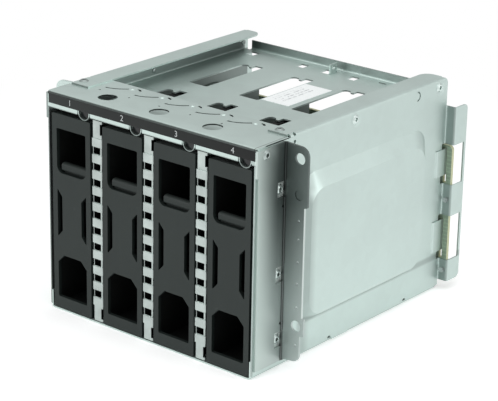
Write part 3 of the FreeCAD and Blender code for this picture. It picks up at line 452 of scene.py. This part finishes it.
def board_finish(name, mask, laminate):
    """Solder mask with hidden tracks on the faces, bare glass laminate at the edges."""
    material, tree, shader = new_finish(name, metallic=0.0, roughness=0.34)
    plain = place(tree)
    upright = add(
        tree,
        "ShaderNodeCombineXYZ",
        {"X": axis_value(tree, plain, "X"), "Y": axis_value(tree, plain, "Z")},
    )
    tracks = add(
        tree,
        "ShaderNodeTexBrick",
        {
            "Vector": upright.outputs["Vector"],
            "Color1": (0.35, 0.35, 0.35, 1),
            "Color2": (0.6, 0.6, 0.6, 1),
            "Mortar": (1, 1, 1, 1),
            "Scale": 1.0,
            "Mortar Size": 0.0004,
            "Mortar Smooth": 0.2,
            "Brick Width": 0.011,
            "Row Height": 0.0023,
        },
    )
    track = add(tree, "ShaderNodeSeparateColor", {"Color": tracks.outputs["Color"]}).outputs["Red"]
    cloud = noise(tree, plain, scale=50)
    face = blend_colours(tree, combine(tree, "MULTIPLY", track, 0.6), shade(mask, 0.9), shade(mask, 1.7))
    face = blend_colours(tree, between(tree, cloud, 0.4, 0.8, 0, 0.2), face, shade(mask, 0.75))
    weave = noise(tree, place(tree, (1, 4, 1)), scale=1800, detail=2)
    edge = blend_colours(tree, between(tree, weave, 0.35, 0.65), shade(laminate, 0.85), shade(laminate, 1.1))
    shape = add(tree, "ShaderNodeNewGeometry")
    across = axis_value(tree, shape.outputs["Normal"], "Y")
    facing = between(tree, combine(tree, "ABSOLUTE", across, 0.0), 0.4, 0.6)
    height = combine(tree, "MULTIPLY", track, facing)
    body = blend_colours(tree, facing, edge, face)
    coat(tree, shader, body, between(tree, facing, 0, 1, 0.7, 0.34), relief(tree, height, 0.3, 0.00003))
    return material


def moulded_finish(name, colour, roughness=0.45):
    """Plain moulded plastic with a fine grain."""
    material, tree, shader = new_finish(name, metallic=0.0, roughness=roughness)
    plain = place(tree)
    grain = noise(tree, plain, scale=2200)
    flow = noise(tree, plain, scale=160)
    rough = stretched(tree, grain, roughness - 0.06, roughness + 0.08)
    coat(tree, shader, mottled(tree, flow, colour, 0.88, 1.1), rough, relief(tree, grain, 0.2, 0.00005))
    return material


def can_finish(name):
    """Aluminium can with fine lines along it."""
    material, tree, shader = new_finish(name, metallic=0.9, roughness=0.32)
    marks = noise(tree, place(tree, (1, 0.05, 1)), scale=1500)
    body = wavering(tree, marks, (0.5, 0.51, 0.52, 1), (0.72, 0.73, 0.74, 1))
    coat(tree, shader, body, stretched(tree, marks, 0.26, 0.42))
    return material


def paper_finish(name, low, high):
    """White label stock with rows of grey marks that say nothing."""
    material, tree, shader = new_finish(name, metallic=0.0, roughness=0.55)
    plain = place(tree)
    across = between(tree, axis_value(tree, plain, "X"), low.x, high.x)
    along = between(tree, axis_value(tree, plain, "Y"), low.y, high.y)
    rows = add(
        tree,
        "ShaderNodeTexWave",
        {"Vector": plain, "Scale": 118.0, "Distortion": 0.0, "Detail": 0.0},
        bands_direction="X",
        wave_type="BANDS",
    )
    dashes = noise(tree, place(tree, (0.2, 1, 1)), scale=900, detail=1)
    ink = combine(
        tree,
        "MULTIPLY",
        between(tree, rows.outputs["Fac"], 0.62, 0.7),
        between(tree, dashes, 0.46, 0.5),
    )
    borders = ((across, 0.14, 0.16), (across, 0.62, 0.6), (along, 0.12, 0.13), (along, 0.84, 0.83))
    for value, absent, full in borders:
        ink = combine(tree, "MULTIPLY", ink, between(tree, value, absent, full))
    fibre = noise(tree, plain, scale=1500, detail=4)
    stock = wavering(tree, fibre, (0.86, 0.90, 0.90, 1), (0.94, 0.97, 0.97, 1))
    body = blend_colours(tree, combine(tree, "MULTIPLY", ink, 0.5), stock, (0.2, 0.22, 0.24, 1))
    coat(tree, shader, body, normal=relief(tree, fibre, 0.1, 0.00003))
    return material


def dress(node_name, material):
    mesh = nodes[node_name].data
    mesh.materials.clear()
    mesh.materials.append(material)


# Tones of the sheets, painted shade and light: bends, joints, edges and places that stand in shade, and
# highlights


def near(axis, value, reach, soft=0.0004):
    """Ranges that keep a tone within this reach of a place on one axis."""
    return (
        (axis, value - reach - soft, value - reach),
        (axis, value + reach + soft, value + reach),
    )


def deeper(amount, *ranges):
    """Tone that darkens the sheet's colour by multiplying it, mostly as painted shade."""
    return ("MULTIPLY", (amount, amount, amount), ranges)


def coloured(colour, *ranges):
    """Tone that puts a lighter colour in place of the sheet's colour, as painted light."""
    return ("MIX", tuple(colour), ranges)


def deck_height():
    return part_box("top_plate")[0].z + SHEET


def wall_top():
    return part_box("right_side_wall")[1].z


def front_edge(lip):
    """Range over the cut edge at the very front of a wall."""
    return ("Y", lip + 0.0012, lip + 0.0006)


def flange_joint(lip, start):
    """Painted shadow in the slit between the front plate and the top flange of a wall."""
    top = wall_top()
    return deeper(0.3, *near("Y", lip + start, 0.0002), ("Z", top - 0.002, top - 0.0014))


def roof_tones(lip):
    """Painted shade on the flanges round the roof, in a dark corner behind the front plate, and along the
    left.
    """
    low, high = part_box("top_plate")
    deck = deck_height()
    reach = 0.0022
    above_deck = ("Z", deck + 0.0004, deck + 0.0014)
    left = ("X", low.x + reach, low.x + 0.001)
    right = ("X", high.x - reach, high.x - 0.001)
    rear = ("Y", high.y - reach, high.y - 0.0012)
    corner = (*near("X", low.x + 0.0075, 0.005), *near("Y", lip + 0.0352, 0.0042))
    shaded_side = (("Y", lip + 0.05, lip + 0.13), ("X", low.x + 0.012, low.x + 0.001))
    return [
        deeper(0.1, left, ("Z", high.z - 0.0006, high.z)),
        deeper(0.55, left, above_deck),
        deeper(0.1, *corner),
        deeper(0.5, *shaded_side),
        deeper(0.5, right, above_deck),
        deeper(0.5, rear, above_deck),
    ]


def front_plate_tones(lip):
    """Painted highlight on the front margin; painted shade in the bend over the label and in the
    lances; a dark lower edge and a dark line along the right end.
    """
    top = wall_top()
    underside = top - 0.0009
    lip_bottom = top - 0.0096
    label_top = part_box("label_strip")[1].z
    right_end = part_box("front_top_plate")[1].x - 0.0011
    margin = (("Y", lip + 0.009, lip + 0.001), ("Z", underside, underside + 0.0006))
    bend = (
        ("Y", lip + 0.0012, lip + 0.0009),
        ("Z", label_top - 0.0006, label_top - 0.0003),
        ("Z", top - 0.0010, top - 0.0014),
    )
    in_slits = (("Z", underside, underside - 0.0002), ("Y", lip + 0.007, lip + 0.008))
    plate_end = ("Y", lip + FRONT_PLATE_END, lip + FRONT_PLATE_END - 0.003)
    return [
        # The margin is lightened as a painted reflection; the bend and the lances are darkened as painted
        # shade
        coloured((0.72, 0.85, 0.81), *margin),
        deeper(0.1, *bend),
        deeper(0.4, ("Z", lip_bottom + 0.0006, lip_bottom)),
        deeper(0.05, *in_slits),
        deeper(0.4, *near("X", right_end, 0.00012, 0.00025), plate_end),
    ]


def right_wall_tones(lip):
    """Painted shade on the front edge, round the ear, on the panel's corner and lower edge and in the rear
    bend, a painted shadow in the flange slit, and painted light where the wall shows in the bracket windows.
    """
    outer_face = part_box("wall_rivets")[1].x - 0.00065
    rivets_low, rivets_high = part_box("bracket_window_rivets")
    window_depth = (rivets_low.y + rivets_high.y) / 2
    over_ear = (
        ("Y", lip + 0.0345, lip + 0.037),
        ("Y", lip + 0.046, lip + 0.041),
        ("Z", 0.104, 0.099),
    )
    panel_corner = (*near("Y", lip + 0.0415, 0.0025, 0.002), *near("Z", 0.0945, 0.003, 0.003))
    panel_foot = (*near("Z", 0.0197, 0.0009, 0.0014), ("Y", lip + 0.036, lip + 0.040))
    rear_bend = (
        ("X", outer_face + 0.0002, outer_face + 0.0012),
        *near("Y", lip + WALL_END, 0.0004),
    )
    tones = [
        flange_joint(lip, RIGHT_FLANGE_START),
        deeper(0.7, front_edge(lip)),
        deeper(0.76, *over_ear),
        deeper(0.8, *panel_corner),
        deeper(0.72, *panel_foot),
        deeper(0.6, *rear_bend),
    ]
    # Painted light: the wall is made lighter where it shows through the bracket windows
    for height in BRACKET_WINDOW_HEIGHTS:
        window = (*near("Y", window_depth, 0.0045), *near("Z", height, 0.005), ("X", 0.069, 0.070))
        tones.append(coloured((0.93, 1.0, 0.97), *window))
    return tones


def left_wall_tones(lip):
    """Painted shadow in the flange slit, and painted shade on the front edge and below the roof."""
    inner_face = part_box("top_plate")[0].x
    deck = deck_height()
    below_roof = (("X", inner_face - 0.0006, inner_face - 0.0001), ("Z", deck, deck - 0.001))
    return [
        flange_joint(lip, LEFT_FLANGE_START),
        deeper(0.45, front_edge(lip)),
        deeper(0.45, *below_roof),
    ]


def base_tones(lip):
    """Painted shade on the floor's right edge where it is seen through the notches of the wall."""
    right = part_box("bottom_plate")[1].x
    edge = (("Z", NOTCH_HEIGHT - 0.0003, NOTCH_HEIGHT), ("X", right - 0.002, right - 0.001))
    return [deeper(0.03, *near("Y", lip + depth, 0.0016, 0.0002), *edge) for depth in NOTCH_DEPTHS]


def right_bracket_tones(lip, foot, leg):
    """Painted light on the foot and the leg, a painted highlight on the cut edge between the ear's two
    holes, and painted shade in the bend.
    """
    low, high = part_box("right_ear_bracket")
    ear_face = high.y - 0.0018
    leg_face = low.x + 0.0012
    cut_edge = (*near("X", high.x - 0.0018, 0.0001, 0.0001), *near("Z", 0.06, 0.029))
    bend = (
        ("X", leg_face + 0.0012, leg_face + 0.0006),
        ("Y", ear_face - 0.0014, ear_face - 0.0008),
    )
    return [
        coloured(foot, ("Z", 0.092, 0.036)),
        coloured(leg, ("Y", ear_face - 0.005, lip + 0.001)),
        coloured((0.56, 0.62, 0.60), *cut_edge),
        deeper(0.3, *bend),
    ]


def left_bracket_tones(lip):
    """Shade at the front edge of the leg."""
    return [deeper(0.5, ("Y", lip + 0.005, lip + 0.002))]


def divider_tones(lip):
    """Painted shade on the hem behind the shielding strip, and inside the cage."""
    return [
        deeper(0.05, ("Y", lip + 0.012, lip + 0.009)),
        deeper(0.35, ("Y", lip + 0.016, lip + 0.022)),
    ]


# Geometry Nodes


def new_shape_tree(name, inputs):
    tree = bpy.data.node_groups.new(name, "GeometryNodeTree")
    tree.interface.new_socket("Geometry", in_out="INPUT", socket_type="NodeSocketGeometry")
    for label, kind, value in inputs:
        socket = tree.interface.new_socket(label, in_out="INPUT", socket_type=kind)
        if value is not None:
            socket.default_value = value
    tree.interface.new_socket("Geometry", in_out="OUTPUT", socket_type="NodeSocketGeometry")
    return tree, tree.nodes.new("NodeGroupInput"), tree.nodes.new("NodeGroupOutput")


def finish_shape_tree(tree, entry, leave, geometry):
    real = add(tree, "GeometryNodeRealizeInstances", {"Geometry": geometry})
    dressed = add(
        tree,
        "GeometryNodeSetMaterial",
        {"Geometry": real.outputs["Geometry"], "Material": entry.outputs["Material"]},
    )
    tree.links.new(dressed.outputs["Geometry"], leave.inputs["Geometry"])
    return tree


def row_tree(name, round_parts):
    """Rows of small parts that start at every point of the mesh and run upwards."""
    tree, entry, leave = new_shape_tree(
        name,
        (
            ("Count", "NodeSocketInt", 10),
            ("Pitch", "NodeSocketFloat", 0.001),
            ("Size", "NodeSocketVector", (0.001, 0.001, 0.001)),
            ("Material", "NodeSocketMaterial", None),
        ),
    )
    step = add(tree, "ShaderNodeCombineXYZ", {"Z": entry.outputs["Pitch"]})
    line = add(
        tree,
        "GeometryNodeMeshLine",
        {"Count": entry.outputs["Count"], "Offset": step.outputs["Vector"]},
        mode="OFFSET",
    )
    rows = add(
        tree,
        "GeometryNodeInstanceOnPoints",
        {"Points": entry.outputs["Geometry"], "Instance": line.outputs["Mesh"]},
    )
    spots = add(tree, "GeometryNodeRealizeInstances", {"Geometry": rows.outputs["Instances"]})
    if round_parts:
        part = add(tree, "GeometryNodeMeshIcoSphere", {"Radius": 1.0, "Subdivisions": 2})
        scale = entry.outputs["Size"]
    else:
        part = add(tree, "GeometryNodeMeshCube", {"Size": entry.outputs["Size"]})
        scale = (1, 1, 1)
    parts = add(
        tree,
        "GeometryNodeInstanceOnPoints",
        {"Points": spots.outputs["Geometry"], "Instance": part.outputs["Mesh"], "Scale": scale},
    )
    return finish_shape_tree(tree, entry, leave, parts.outputs["Instances"])


def scatter_tree(name):
    """Flat chip parts scattered over the faces of the mesh, each turned by a quarter or not."""
    tree, entry, leave = new_shape_tree(
        name,
        (
            ("Spacing", "NodeSocketFloat", 0.005),
            ("Size", "NodeSocketVector", (0.002, 0.0008, 0.001)),
            ("Seed", "NodeSocketInt", 1),
            ("Material", "NodeSocketMaterial", None),
        ),
    )
    seed = entry.outputs["Seed"]
    spread = add(
        tree,
        "GeometryNodeDistributePointsOnFaces",
        {
            "Mesh": entry.outputs["Geometry"],
            "Distance Min": entry.outputs["Spacing"],
            "Density Max": 90000,
            "Seed": seed,
        },
        distribute_method="POISSON",
    )
    turn = add(tree, "FunctionNodeRandomValue", {4: 0, 5: 1, "Seed": seed}, data_type="INT")
    quarter = combine(tree, "MULTIPLY", turn.outputs[2], math.pi / 2)
    angle = add(tree, "ShaderNodeCombineXYZ", {"Y": quarter})
    grow = add(tree, "FunctionNodeRandomValue", {2: 0.45, 3: 1.0, "Seed": seed}, data_type="FLOAT")
    block = add(tree, "GeometryNodeMeshCube", {"Size": entry.outputs["Size"]})
    parts = add(
        tree,
        "GeometryNodeInstanceOnPoints",
        {
            "Points": spread.outputs["Points"],
            "Instance": block.outputs["Mesh"],
            "Rotation": angle.outputs["Vector"],
            "Scale": grow.outputs[1],
        },
    )
    return finish_shape_tree(tree, entry, leave, parts.outputs["Instances"])


def mesh_object(name, points, faces=()):
    mesh = bpy.data.meshes.new(name)
    mesh.from_pydata([tuple(point) for point in points], [], list(faces))
    made = bpy.data.objects.new(name, mesh)
    bpy.context.scene.collection.objects.link(made)
    return made


def grown(piece, tree, values):
    """The piece's mesh after the node tree has run on it with these inputs."""
    modifier = piece.modifiers.new("parts", "NODES")
    modifier.node_group = tree
    for item in tree.interface.items_tree:
        if item.item_type == "SOCKET" and item.in_out == "INPUT" and item.name in values:
            modifier[item.identifier] = values[item.name]
    graph = bpy.context.evaluated_depsgraph_get()
    made = bpy.data.meshes.new_from_object(piece.evaluated_get(graph))
    piece.modifiers.remove(modifier)
    piece.data = made
    made.name = piece.name
    if not made.polygons:
        raise RuntimeError(f"{piece.name} came out empty")
    return piece


# Operators, one for each group of like pieces


class DriveCageSheets(bpy.types.Operator):
    """Finish of the galvanised sheets and of the ear brackets"""

    bl_idname = "drive_cage.sheets"
    bl_label = "Zinc sheets"

    def execute(self, context):
        colours = finishes()
        steel = colours.steel
        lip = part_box("front_top_plate")[0].y
        bracket_tones = right_bracket_tones(lip, colours.bracket_foot, colours.bracket_leg)
        finish = {
            "left_side_wall": zinc_sheet("zinc left wall", steel, ALONG_Y, left_wall_tones(lip)),
            "right_side_wall": zinc_sheet("zinc right wall", steel, ALONG_Y, right_wall_tones(lip)),
            "top_plate": zinc_sheet("zinc roof", steel, ALONG_X, roof_tones(lip)),
            "bottom_plate": zinc_sheet("zinc floor", steel, ALONG_X, base_tones(lip)),
            "front_top_plate": zinc_sheet("zinc front plate", steel, ALONG_X, front_plate_tones(lip)),
            "right_ear_bracket": zinc_sheet(
                "zinc right bracket", colours.bracket, ALONG_Z, bracket_tones, roughness=0.4
            ),
            "left_ear_bracket": zinc_sheet("zinc left bracket", steel, ALONG_Z, left_bracket_tones(lip)),
        }
        divider = zinc_sheet("zinc divider", steel, ALONG_Z, divider_tones(lip))
        for number in DIVIDERS:
            finish[f"divider_{number}"] = divider
        for name, material in finish.items():
            dress(name, material)
        return {"FINISHED"}


class DriveCageStrips(bpy.types.Operator):
    """Finish of the springy shielding strips"""

    bl_idname = "drive_cage.strips"
    bl_label = "Shielding strips"

    def execute(self, context):
        material = spring_finish("spring steel", finishes().spring)
        for number in DIVIDERS:
            dress(f"shielding_strip_{number}", material)
        return {"FINISHED"}


class DriveCageBlanks(bpy.types.Operator):
    """Finish of the moulded drive blanks"""

    bl_idname = "drive_cage.blanks"
    bl_label = "Drive blanks"

    def execute(self, context):
        face_edge = 0.0006
        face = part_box("drive_blank_1")[0].y
        material = blank_finish("blank plastic", finishes().blank, face + face_edge)
        for number in BAYS:
            dress(f"drive_blank_{number}", material)
        return {"FINISHED"}


class DriveCageLabel(bpy.types.Operator):
    """Finish of the label strip, and the bay numbers printed on it"""

    bl_idname = "drive_cage.label"
    bl_label = "Label and numbers"

    def execute(self, context):
        low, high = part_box("label_strip")
        dress("label_strip", film_finish("label film", finishes().label, low, high))
        ink = print_finish("number ink")
        sizes = details()
        middle_bay = sum(BAYS) / len(BAYS)
        turn = Matrix.Rotation(math.pi / 2, 4, "X")
        for number in BAYS:
            across = sizes.number_shift + (number - middle_bay) * sizes.number_pitch
            middle = Vector((across, low.y, (low.z + high.z) / 2))
            curve = bpy.data.curves.new(f"bay_number_{number}", "FONT")
            curve.body = str(number)
            curve.size = sizes.number_height * LETTER_SIZE
            curve.align_x = "CENTER"
            curve.align_y = "CENTER"
            curve.extrude = INK
            words = bpy.data.objects.new(f"bay_number_{number}", curve)
            context.scene.collection.objects.link(words)
            graph = context.evaluated_depsgraph_get()
            mesh = bpy.data.meshes.new_from_object(words.evaluated_get(graph))
            bpy.data.objects.remove(words)
            mesh.transform(Matrix.Translation(middle) @ turn)
            mesh.materials.clear()
            mesh.materials.append(ink)
            piece = bpy.data.objects.new(f"bay_number_{number}", mesh)
            context.scene.collection.objects.link(piece)
            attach(piece, CAGE)
        return {"FINISHED"}


class DriveCageLenses(bpy.types.Operator):
    """Finish of the lenses in the lip"""

    bl_idname = "drive_cage.lenses"
    bl_label = "Indicator lenses"

    def execute(self, context):
        dress("indicator_lenses", lens_finish("smoked lens"))
        return {"FINISHED"}


class DriveCageFasteners(bpy.types.Operator):
    """Finish of the rivets and screws"""

    bl_idname = "drive_cage.fasteners"
    bl_label = "Rivets and screws"

    def execute(self, context):
        # The wall rivets and the rivets in the bracket windows take a much lighter shade of the plating, as
        # a painted highlight
        stud = fastener_finish("window rivet", (0.72, 0.82, 0.79), 0.36)
        dress("wall_rivets", stud)
        dress("bracket_window_rivets", stud)
        dress("bracket_rivets", fastener_finish("rivet", (0.46, 0.53, 0.51), 0.36))
        dress("front_plate_rivets", fastener_finish("plate rivet", (0.30, 0.34, 0.33), 0.6))
        dress("backplane_screws", fastener_finish("screw", (0.5, 0.52, 0.52), 0.28))
        return {"FINISHED"}


class DriveCageTails(bpy.types.Operator):
    """Set tails of rivets, on the inner face of the roof's left flange"""

    bl_idname = "drive_cage.tails"
    bl_label = "Rivet tails"

    def execute(self, context):
        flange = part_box("top_plate")[0].x + SHEET
        low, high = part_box("wall_rivets")
        radius = details().tail_radius
        flatness = 0.45
        starts = [Vector((flange, y + radius, low.z)) for y in (low.y + radius, high.y - radius)]
        values = {
            "Count": 1,
            "Size": (radius * flatness, radius, radius),
            "Material": fastener_finish("rivet tail", (0.30, 0.34, 0.33), 0.3),
        }
        piece = mesh_object("rivet_tails", starts)
        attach(grown(piece, row_tree("rivet tails", True), values), CAGE)
        return {"FINISHED"}


class DriveCageBackplane(bpy.types.Operator):
    """Finish of the board, its sockets and its capacitors"""

    bl_idname = "drive_cage.backplane"
    bl_label = "Backplane"

    def execute(self, context):
        colours = finishes()
        dress("backplane_board", board_finish("circuit board", colours.board, colours.laminate))
        dark = moulded_finish("socket plastic", (0.016, 0.016, 0.018))
        pale = moulded_finish("pale socket plastic", (0.72, 0.68, 0.56))
        for number in BAYS:
            dress(f"drive_socket_{number}", dark)
        dress("backplane_data_socket", dark)
        dress("backplane_signal_header", dark)
        dress("backplane_power_socket", pale)
        dress("backplane_capacitors", can_finish("capacitor can"))
        return {"FINISHED"}


def socket_rows(sizes, sides):
    """Points at the lower end of each socket's rows, this far to the side of its middle."""
    run = sizes.contact_pitch * (sizes.contact_count - 1)
    starts = []
    for number in BAYS:
        low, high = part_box(f"drive_socket_{number}")
        middle = (low + high) / 2
        for side in sides:
            starts.append(Vector((middle.x + side, middle.y, middle.z - run / 2)))
    return starts


class DriveCageContacts(bpy.types.Operator):
    """Rows of gold contacts on the tongues of the drive sockets"""

    bl_idname = "drive_cage.contacts"
    bl_label = "Socket contacts"

    def execute(self, context):
        sizes = details()
        tongue_thickness = 0.0012
        contact_rise = 0.0003
        contact_length = 0.0045
        forward = 0.001
        starts = socket_rows(sizes, (-tongue_thickness, 0.0))
        for start in starts:
            start.y -= forward
        piece = mesh_object("socket_contacts", starts)
        values = {
            "Count": sizes.contact_count,
            "Pitch": sizes.contact_pitch,
            "Size": (contact_rise, contact_length, sizes.contact_width),
            "Material": fastener_finish("contact gold", (0.85, 0.6, 0.22), 0.25),
        }
        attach(grown(piece, row_tree("contact rows", False), values), CAGE)
        return {"FINISHED"}


class DriveCageSolder(bpy.types.Operator):
    """Rows of solder joints on the back of the board, behind the drive sockets"""

    bl_idname = "drive_cage.solder"
    bl_label = "Solder joints"

    def execute(self, context):
        sizes = details()
        half_gap = 0.0012
        joint_rise = 1.2
        starts = socket_rows(sizes, (-half_gap, half_gap))
        for start in starts:
            start.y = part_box("backplane_board")[1].y
        piece = mesh_object("solder_joints", starts)
        radius = sizes.solder_radius
        values = {
            "Count": sizes.contact_count,
            "Pitch": sizes.contact_pitch,
            "Size": (radius, radius * joint_rise, radius),
            "Material": fastener_finish("solder", (0.66, 0.67, 0.68), 0.24),
        }
        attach(grown(piece, row_tree("solder rows", True), values), CAGE)
        return {"FINISHED"}


class DriveCageChips(bpy.types.Operator):
    """Small chip parts scattered over the free fields at the back of the board"""

    bl_idname = "drive_cage.chips"
    bl_label = "Chip parts"

    def execute(self, context):
        sizes = details()
        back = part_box("backplane_board")[1].y
        socket_gap = 0.002
        field_width = 0.0095
        lower_margin = 0.006
        upper_margin = 0.003
        chip_shape = Vector((1, 0.5, 0.55))
        corners = []
        faces = []
        for number in BAYS:
            socket_low, socket_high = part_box(f"drive_socket_{number}")
            left = socket_high.x + socket_gap
            bottom = socket_low.z + lower_margin
            top = socket_high.z - upper_margin
            start = len(corners)
            corners += [
                (left, back, bottom),
                (left, back, top),
                (left + field_width, back, top),
                (left + field_width, back, bottom),
            ]
            faces.append((start, start + 1, start + 2, start + 3))
        piece = mesh_object("chip_parts", corners, faces)
        values = {
            "Spacing": sizes.chip_spacing,
            "Size": chip_shape * sizes.chip_length,
            "Seed": sizes.chip_seed,
            "Material": moulded_finish("chip body", (0.035, 0.032, 0.03), 0.4),
        }
        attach(grown(piece, scatter_tree("chip scatter"), values), CAGE)
        return {"FINISHED"}


class DriveCageSticker(bpy.types.Operator):
    """Finish of the white sticker on the roof"""

    bl_idname = "drive_cage.sticker"
    bl_label = "Roof sticker"

    def execute(self, context):
        low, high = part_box("roof_sticker")
        dress("roof_sticker", paper_finish("label paper", low, high))
        return {"FINISHED"}


def soft_light(name, power, size, place_at, aim_at):
    data = bpy.data.lights.new(name, "AREA")
    data.shape = "RECTANGLE"
    data.size, data.size_y = size
    data.energy = power
    lamp = bpy.data.objects.new(name, data)
    bpy.context.scene.collection.objects.link(lamp)
    lamp.location = place_at
    lamp.rotation_mode = "QUATERNION"
    lamp.rotation_quaternion = (Vector(aim_at) - Vector(place_at)).to_track_quat("-Z", "Y")


def light_path_mask(tree, with_glossy=True):
    """1 for rays from the camera and through glass, and for mirror rays if wanted."""
    path = add(tree, "ShaderNodeLightPath")
    mask = combine(tree, "MAXIMUM", path.outputs["Is Camera Ray"], path.outputs["Is Transmission Ray"])
    if with_glossy:
        mask = combine(tree, "MAXIMUM", mask, path.outputs["Is Glossy Ray"])
    return mask


def mixed_shader(tree, factor, first, second):
    made = add(tree, "ShaderNodeMixShader", {0: factor, 1: first, 2: second})
    return made.outputs[0]


def glowing(tree, kind, strength):
    """White light of one strength, as an emission or as a background."""
    made = add(tree, kind, {"Color": (1, 1, 1, 1), "Strength": strength})
    return made.outputs[0]


class DriveCageStage(bpy.types.Operator):
    """Floor, room, lights and camera"""

    bl_idname = "drive_cage.stage"
    bl_label = "Studio"

    def make_floor(self, context):
        reach = FLOOR_REACH
        gap = 0.0002
        corners = [(-reach, -reach, 0), (reach, -reach, 0), (reach, reach, 0), (-reach, reach, 0)]
        floor = mesh_object("studio_floor", corners, [(0, 1, 2, 3)])
        floor.location.z = solid_low.z - gap
        material = bpy.data.materials.new("studio floor")
        material.use_nodes = True
        tree = material.node_tree
        tree.nodes.clear()
        plain = add(tree, "ShaderNodeBsdfDiffuse", {"Color": shade(studio().floor, 1)}).outputs[0]
        glow = glowing(tree, "ShaderNodeEmission", FLOOR_GLOW)
        at_the_cage = add(tree, "ShaderNodeAddShader", {0: plain, 1: glow}).outputs[0]
        where = add(tree, "ShaderNodeTexCoord")
        away = add(tree, "ShaderNodeVectorMath", {0: where.outputs["Object"]}, operation="LENGTH")
        far = between(tree, away.outputs["Value"], *FLOOR_FADE)
        seen = mixed_shader(tree, far, at_the_cage, glowing(tree, "ShaderNodeEmission", 1.0))
        output = add(tree, "ShaderNodeOutputMaterial")
        chosen = mixed_shader(tree, light_path_mask(tree), plain, seen)
        tree.links.new(chosen, output.inputs["Surface"])
        floor.data.materials.append(material)

    def make_room(self, context):
        world = bpy.data.worlds.new("studio room")
        context.scene.world = world
        world.use_nodes = True
        tree = world.node_tree
        tree.nodes.clear()
        even = glowing(tree, "ShaderNodeBackground", studio().fill)
        mirrored = glowing(tree, "ShaderNodeBackground", studio().mirrored_room)
        white = glowing(tree, "ShaderNodeBackground", 1.0)
        path = add(tree, "ShaderNodeLightPath")
        lit = mixed_shader(tree, path.outputs["Is Glossy Ray"], even, mirrored)
        output = add(tree, "ShaderNodeOutputWorld")
        chosen = mixed_shader(tree, light_path_mask(tree, with_glossy=False), lit, white)
        tree.links.new(chosen, output.inputs["Surface"])

    def make_lights(self, context):
        values = studio()
        middle = (0, 0, 0.06)
        soft_light("top_light", values.top_power, (1.0, 1.0), (0.15, -0.1, 1.1), middle)
        soft_light("side_light", values.side_power, (0.9, 0.7), (1.1, 0.35, 0.45), middle)
        soft_light("front_light", values.front_power, (0.8, 0.5), (-0.35, -1.1, 0.35), middle)

    def make_camera(self, context):
        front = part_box("shielding_strip_1")[0].y
        data = bpy.data.cameras.new("camera")
        camera = bpy.data.objects.new("camera", data)
        context.scene.collection.objects.link(camera)
        data.sensor_width = 36
        data.lens = CAMERA_LENS
        data.shift_x, data.shift_y = CAMERA_SHIFT
        data.clip_start = 0.05
        data.clip_end = 30
        forward = Vector(CAMERA_FORWARD).normalized()
        level = forward.cross(Vector((0, 0, 1))).normalized()
        upright = level.cross(forward)
        roll = math.radians(CAMERA_ROLL)
        right = level * math.cos(roll) + upright * math.sin(roll)
        up = upright * math.cos(roll) - level * math.sin(roll)
        turn = Matrix((right, up, -forward)).transposed().to_4x4()
        across, depth, height = CAMERA_PLACE
        camera.matrix_world = Matrix.Translation((across, front + depth, height)) @ turn
        context.scene.camera = camera

    def execute(self, context):
        self.make_floor(context)
        self.make_room(context)
        self.make_lights(context)
        self.make_camera(context)
        context.scene.view_settings.view_transform = "Standard"
        return {"FINISHED"}


OPERATORS = (
    DriveCageSheets,
    DriveCageStrips,
    DriveCageBlanks,
    DriveCageLabel,
    DriveCageLenses,
    DriveCageFasteners,
    DriveCageTails,
    DriveCageBackplane,
    DriveCageContacts,
    DriveCageSolder,
    DriveCageChips,
    DriveCageSticker,
    DriveCageStage,
)


class DriveCagePanel(bpy.types.Panel):
    """Buttons and values of the drive cage"""

    bl_label = "Drive Cage"
    bl_idname = "VIEW3D_PT_drive_cage"
    bl_space_type = "VIEW_3D"
    bl_region_type = "UI"
    bl_category = "Drive Cage"

    def draw(self, context):
        layout = self.layout
        for values in (finishes(), details(), studio()):
            box = layout.box()
            for name in values.bl_rna.properties.keys():
                if name not in ("rna_type", "name"):
                    box.prop(values, name)
        for operator in OPERATORS:
            layout.operator(operator.bl_idname, text=operator.bl_label)


GROUPS = {
    "drive_cage_finishes": DriveCageFinishes,
    "drive_cage_details": DriveCageDetails,
    "drive_cage_studio": DriveCageStudio,
}


def register():
    for group in GROUPS.values():
        bpy.utils.register_class(group)
    for operator in OPERATORS:
        bpy.utils.register_class(operator)
    bpy.utils.register_class(DriveCagePanel)
    for name, group in GROUPS.items():
        setattr(bpy.types.Scene, name, PointerProperty(type=group))


def unregister():
    for name in GROUPS:
        delattr(bpy.types.Scene, name)
    bpy.utils.unregister_class(DriveCagePanel)
    for operator in reversed(OPERATORS):
        bpy.utils.unregister_class(operator)
    for group in reversed(list(GROUPS.values())):
        bpy.utils.unregister_class(group)


def main():
    register()
    for operator in OPERATORS:
        family, action = operator.bl_idname.split(".")
        getattr(getattr(bpy.ops, family), action)()


if __name__ == "__main__":
    main()
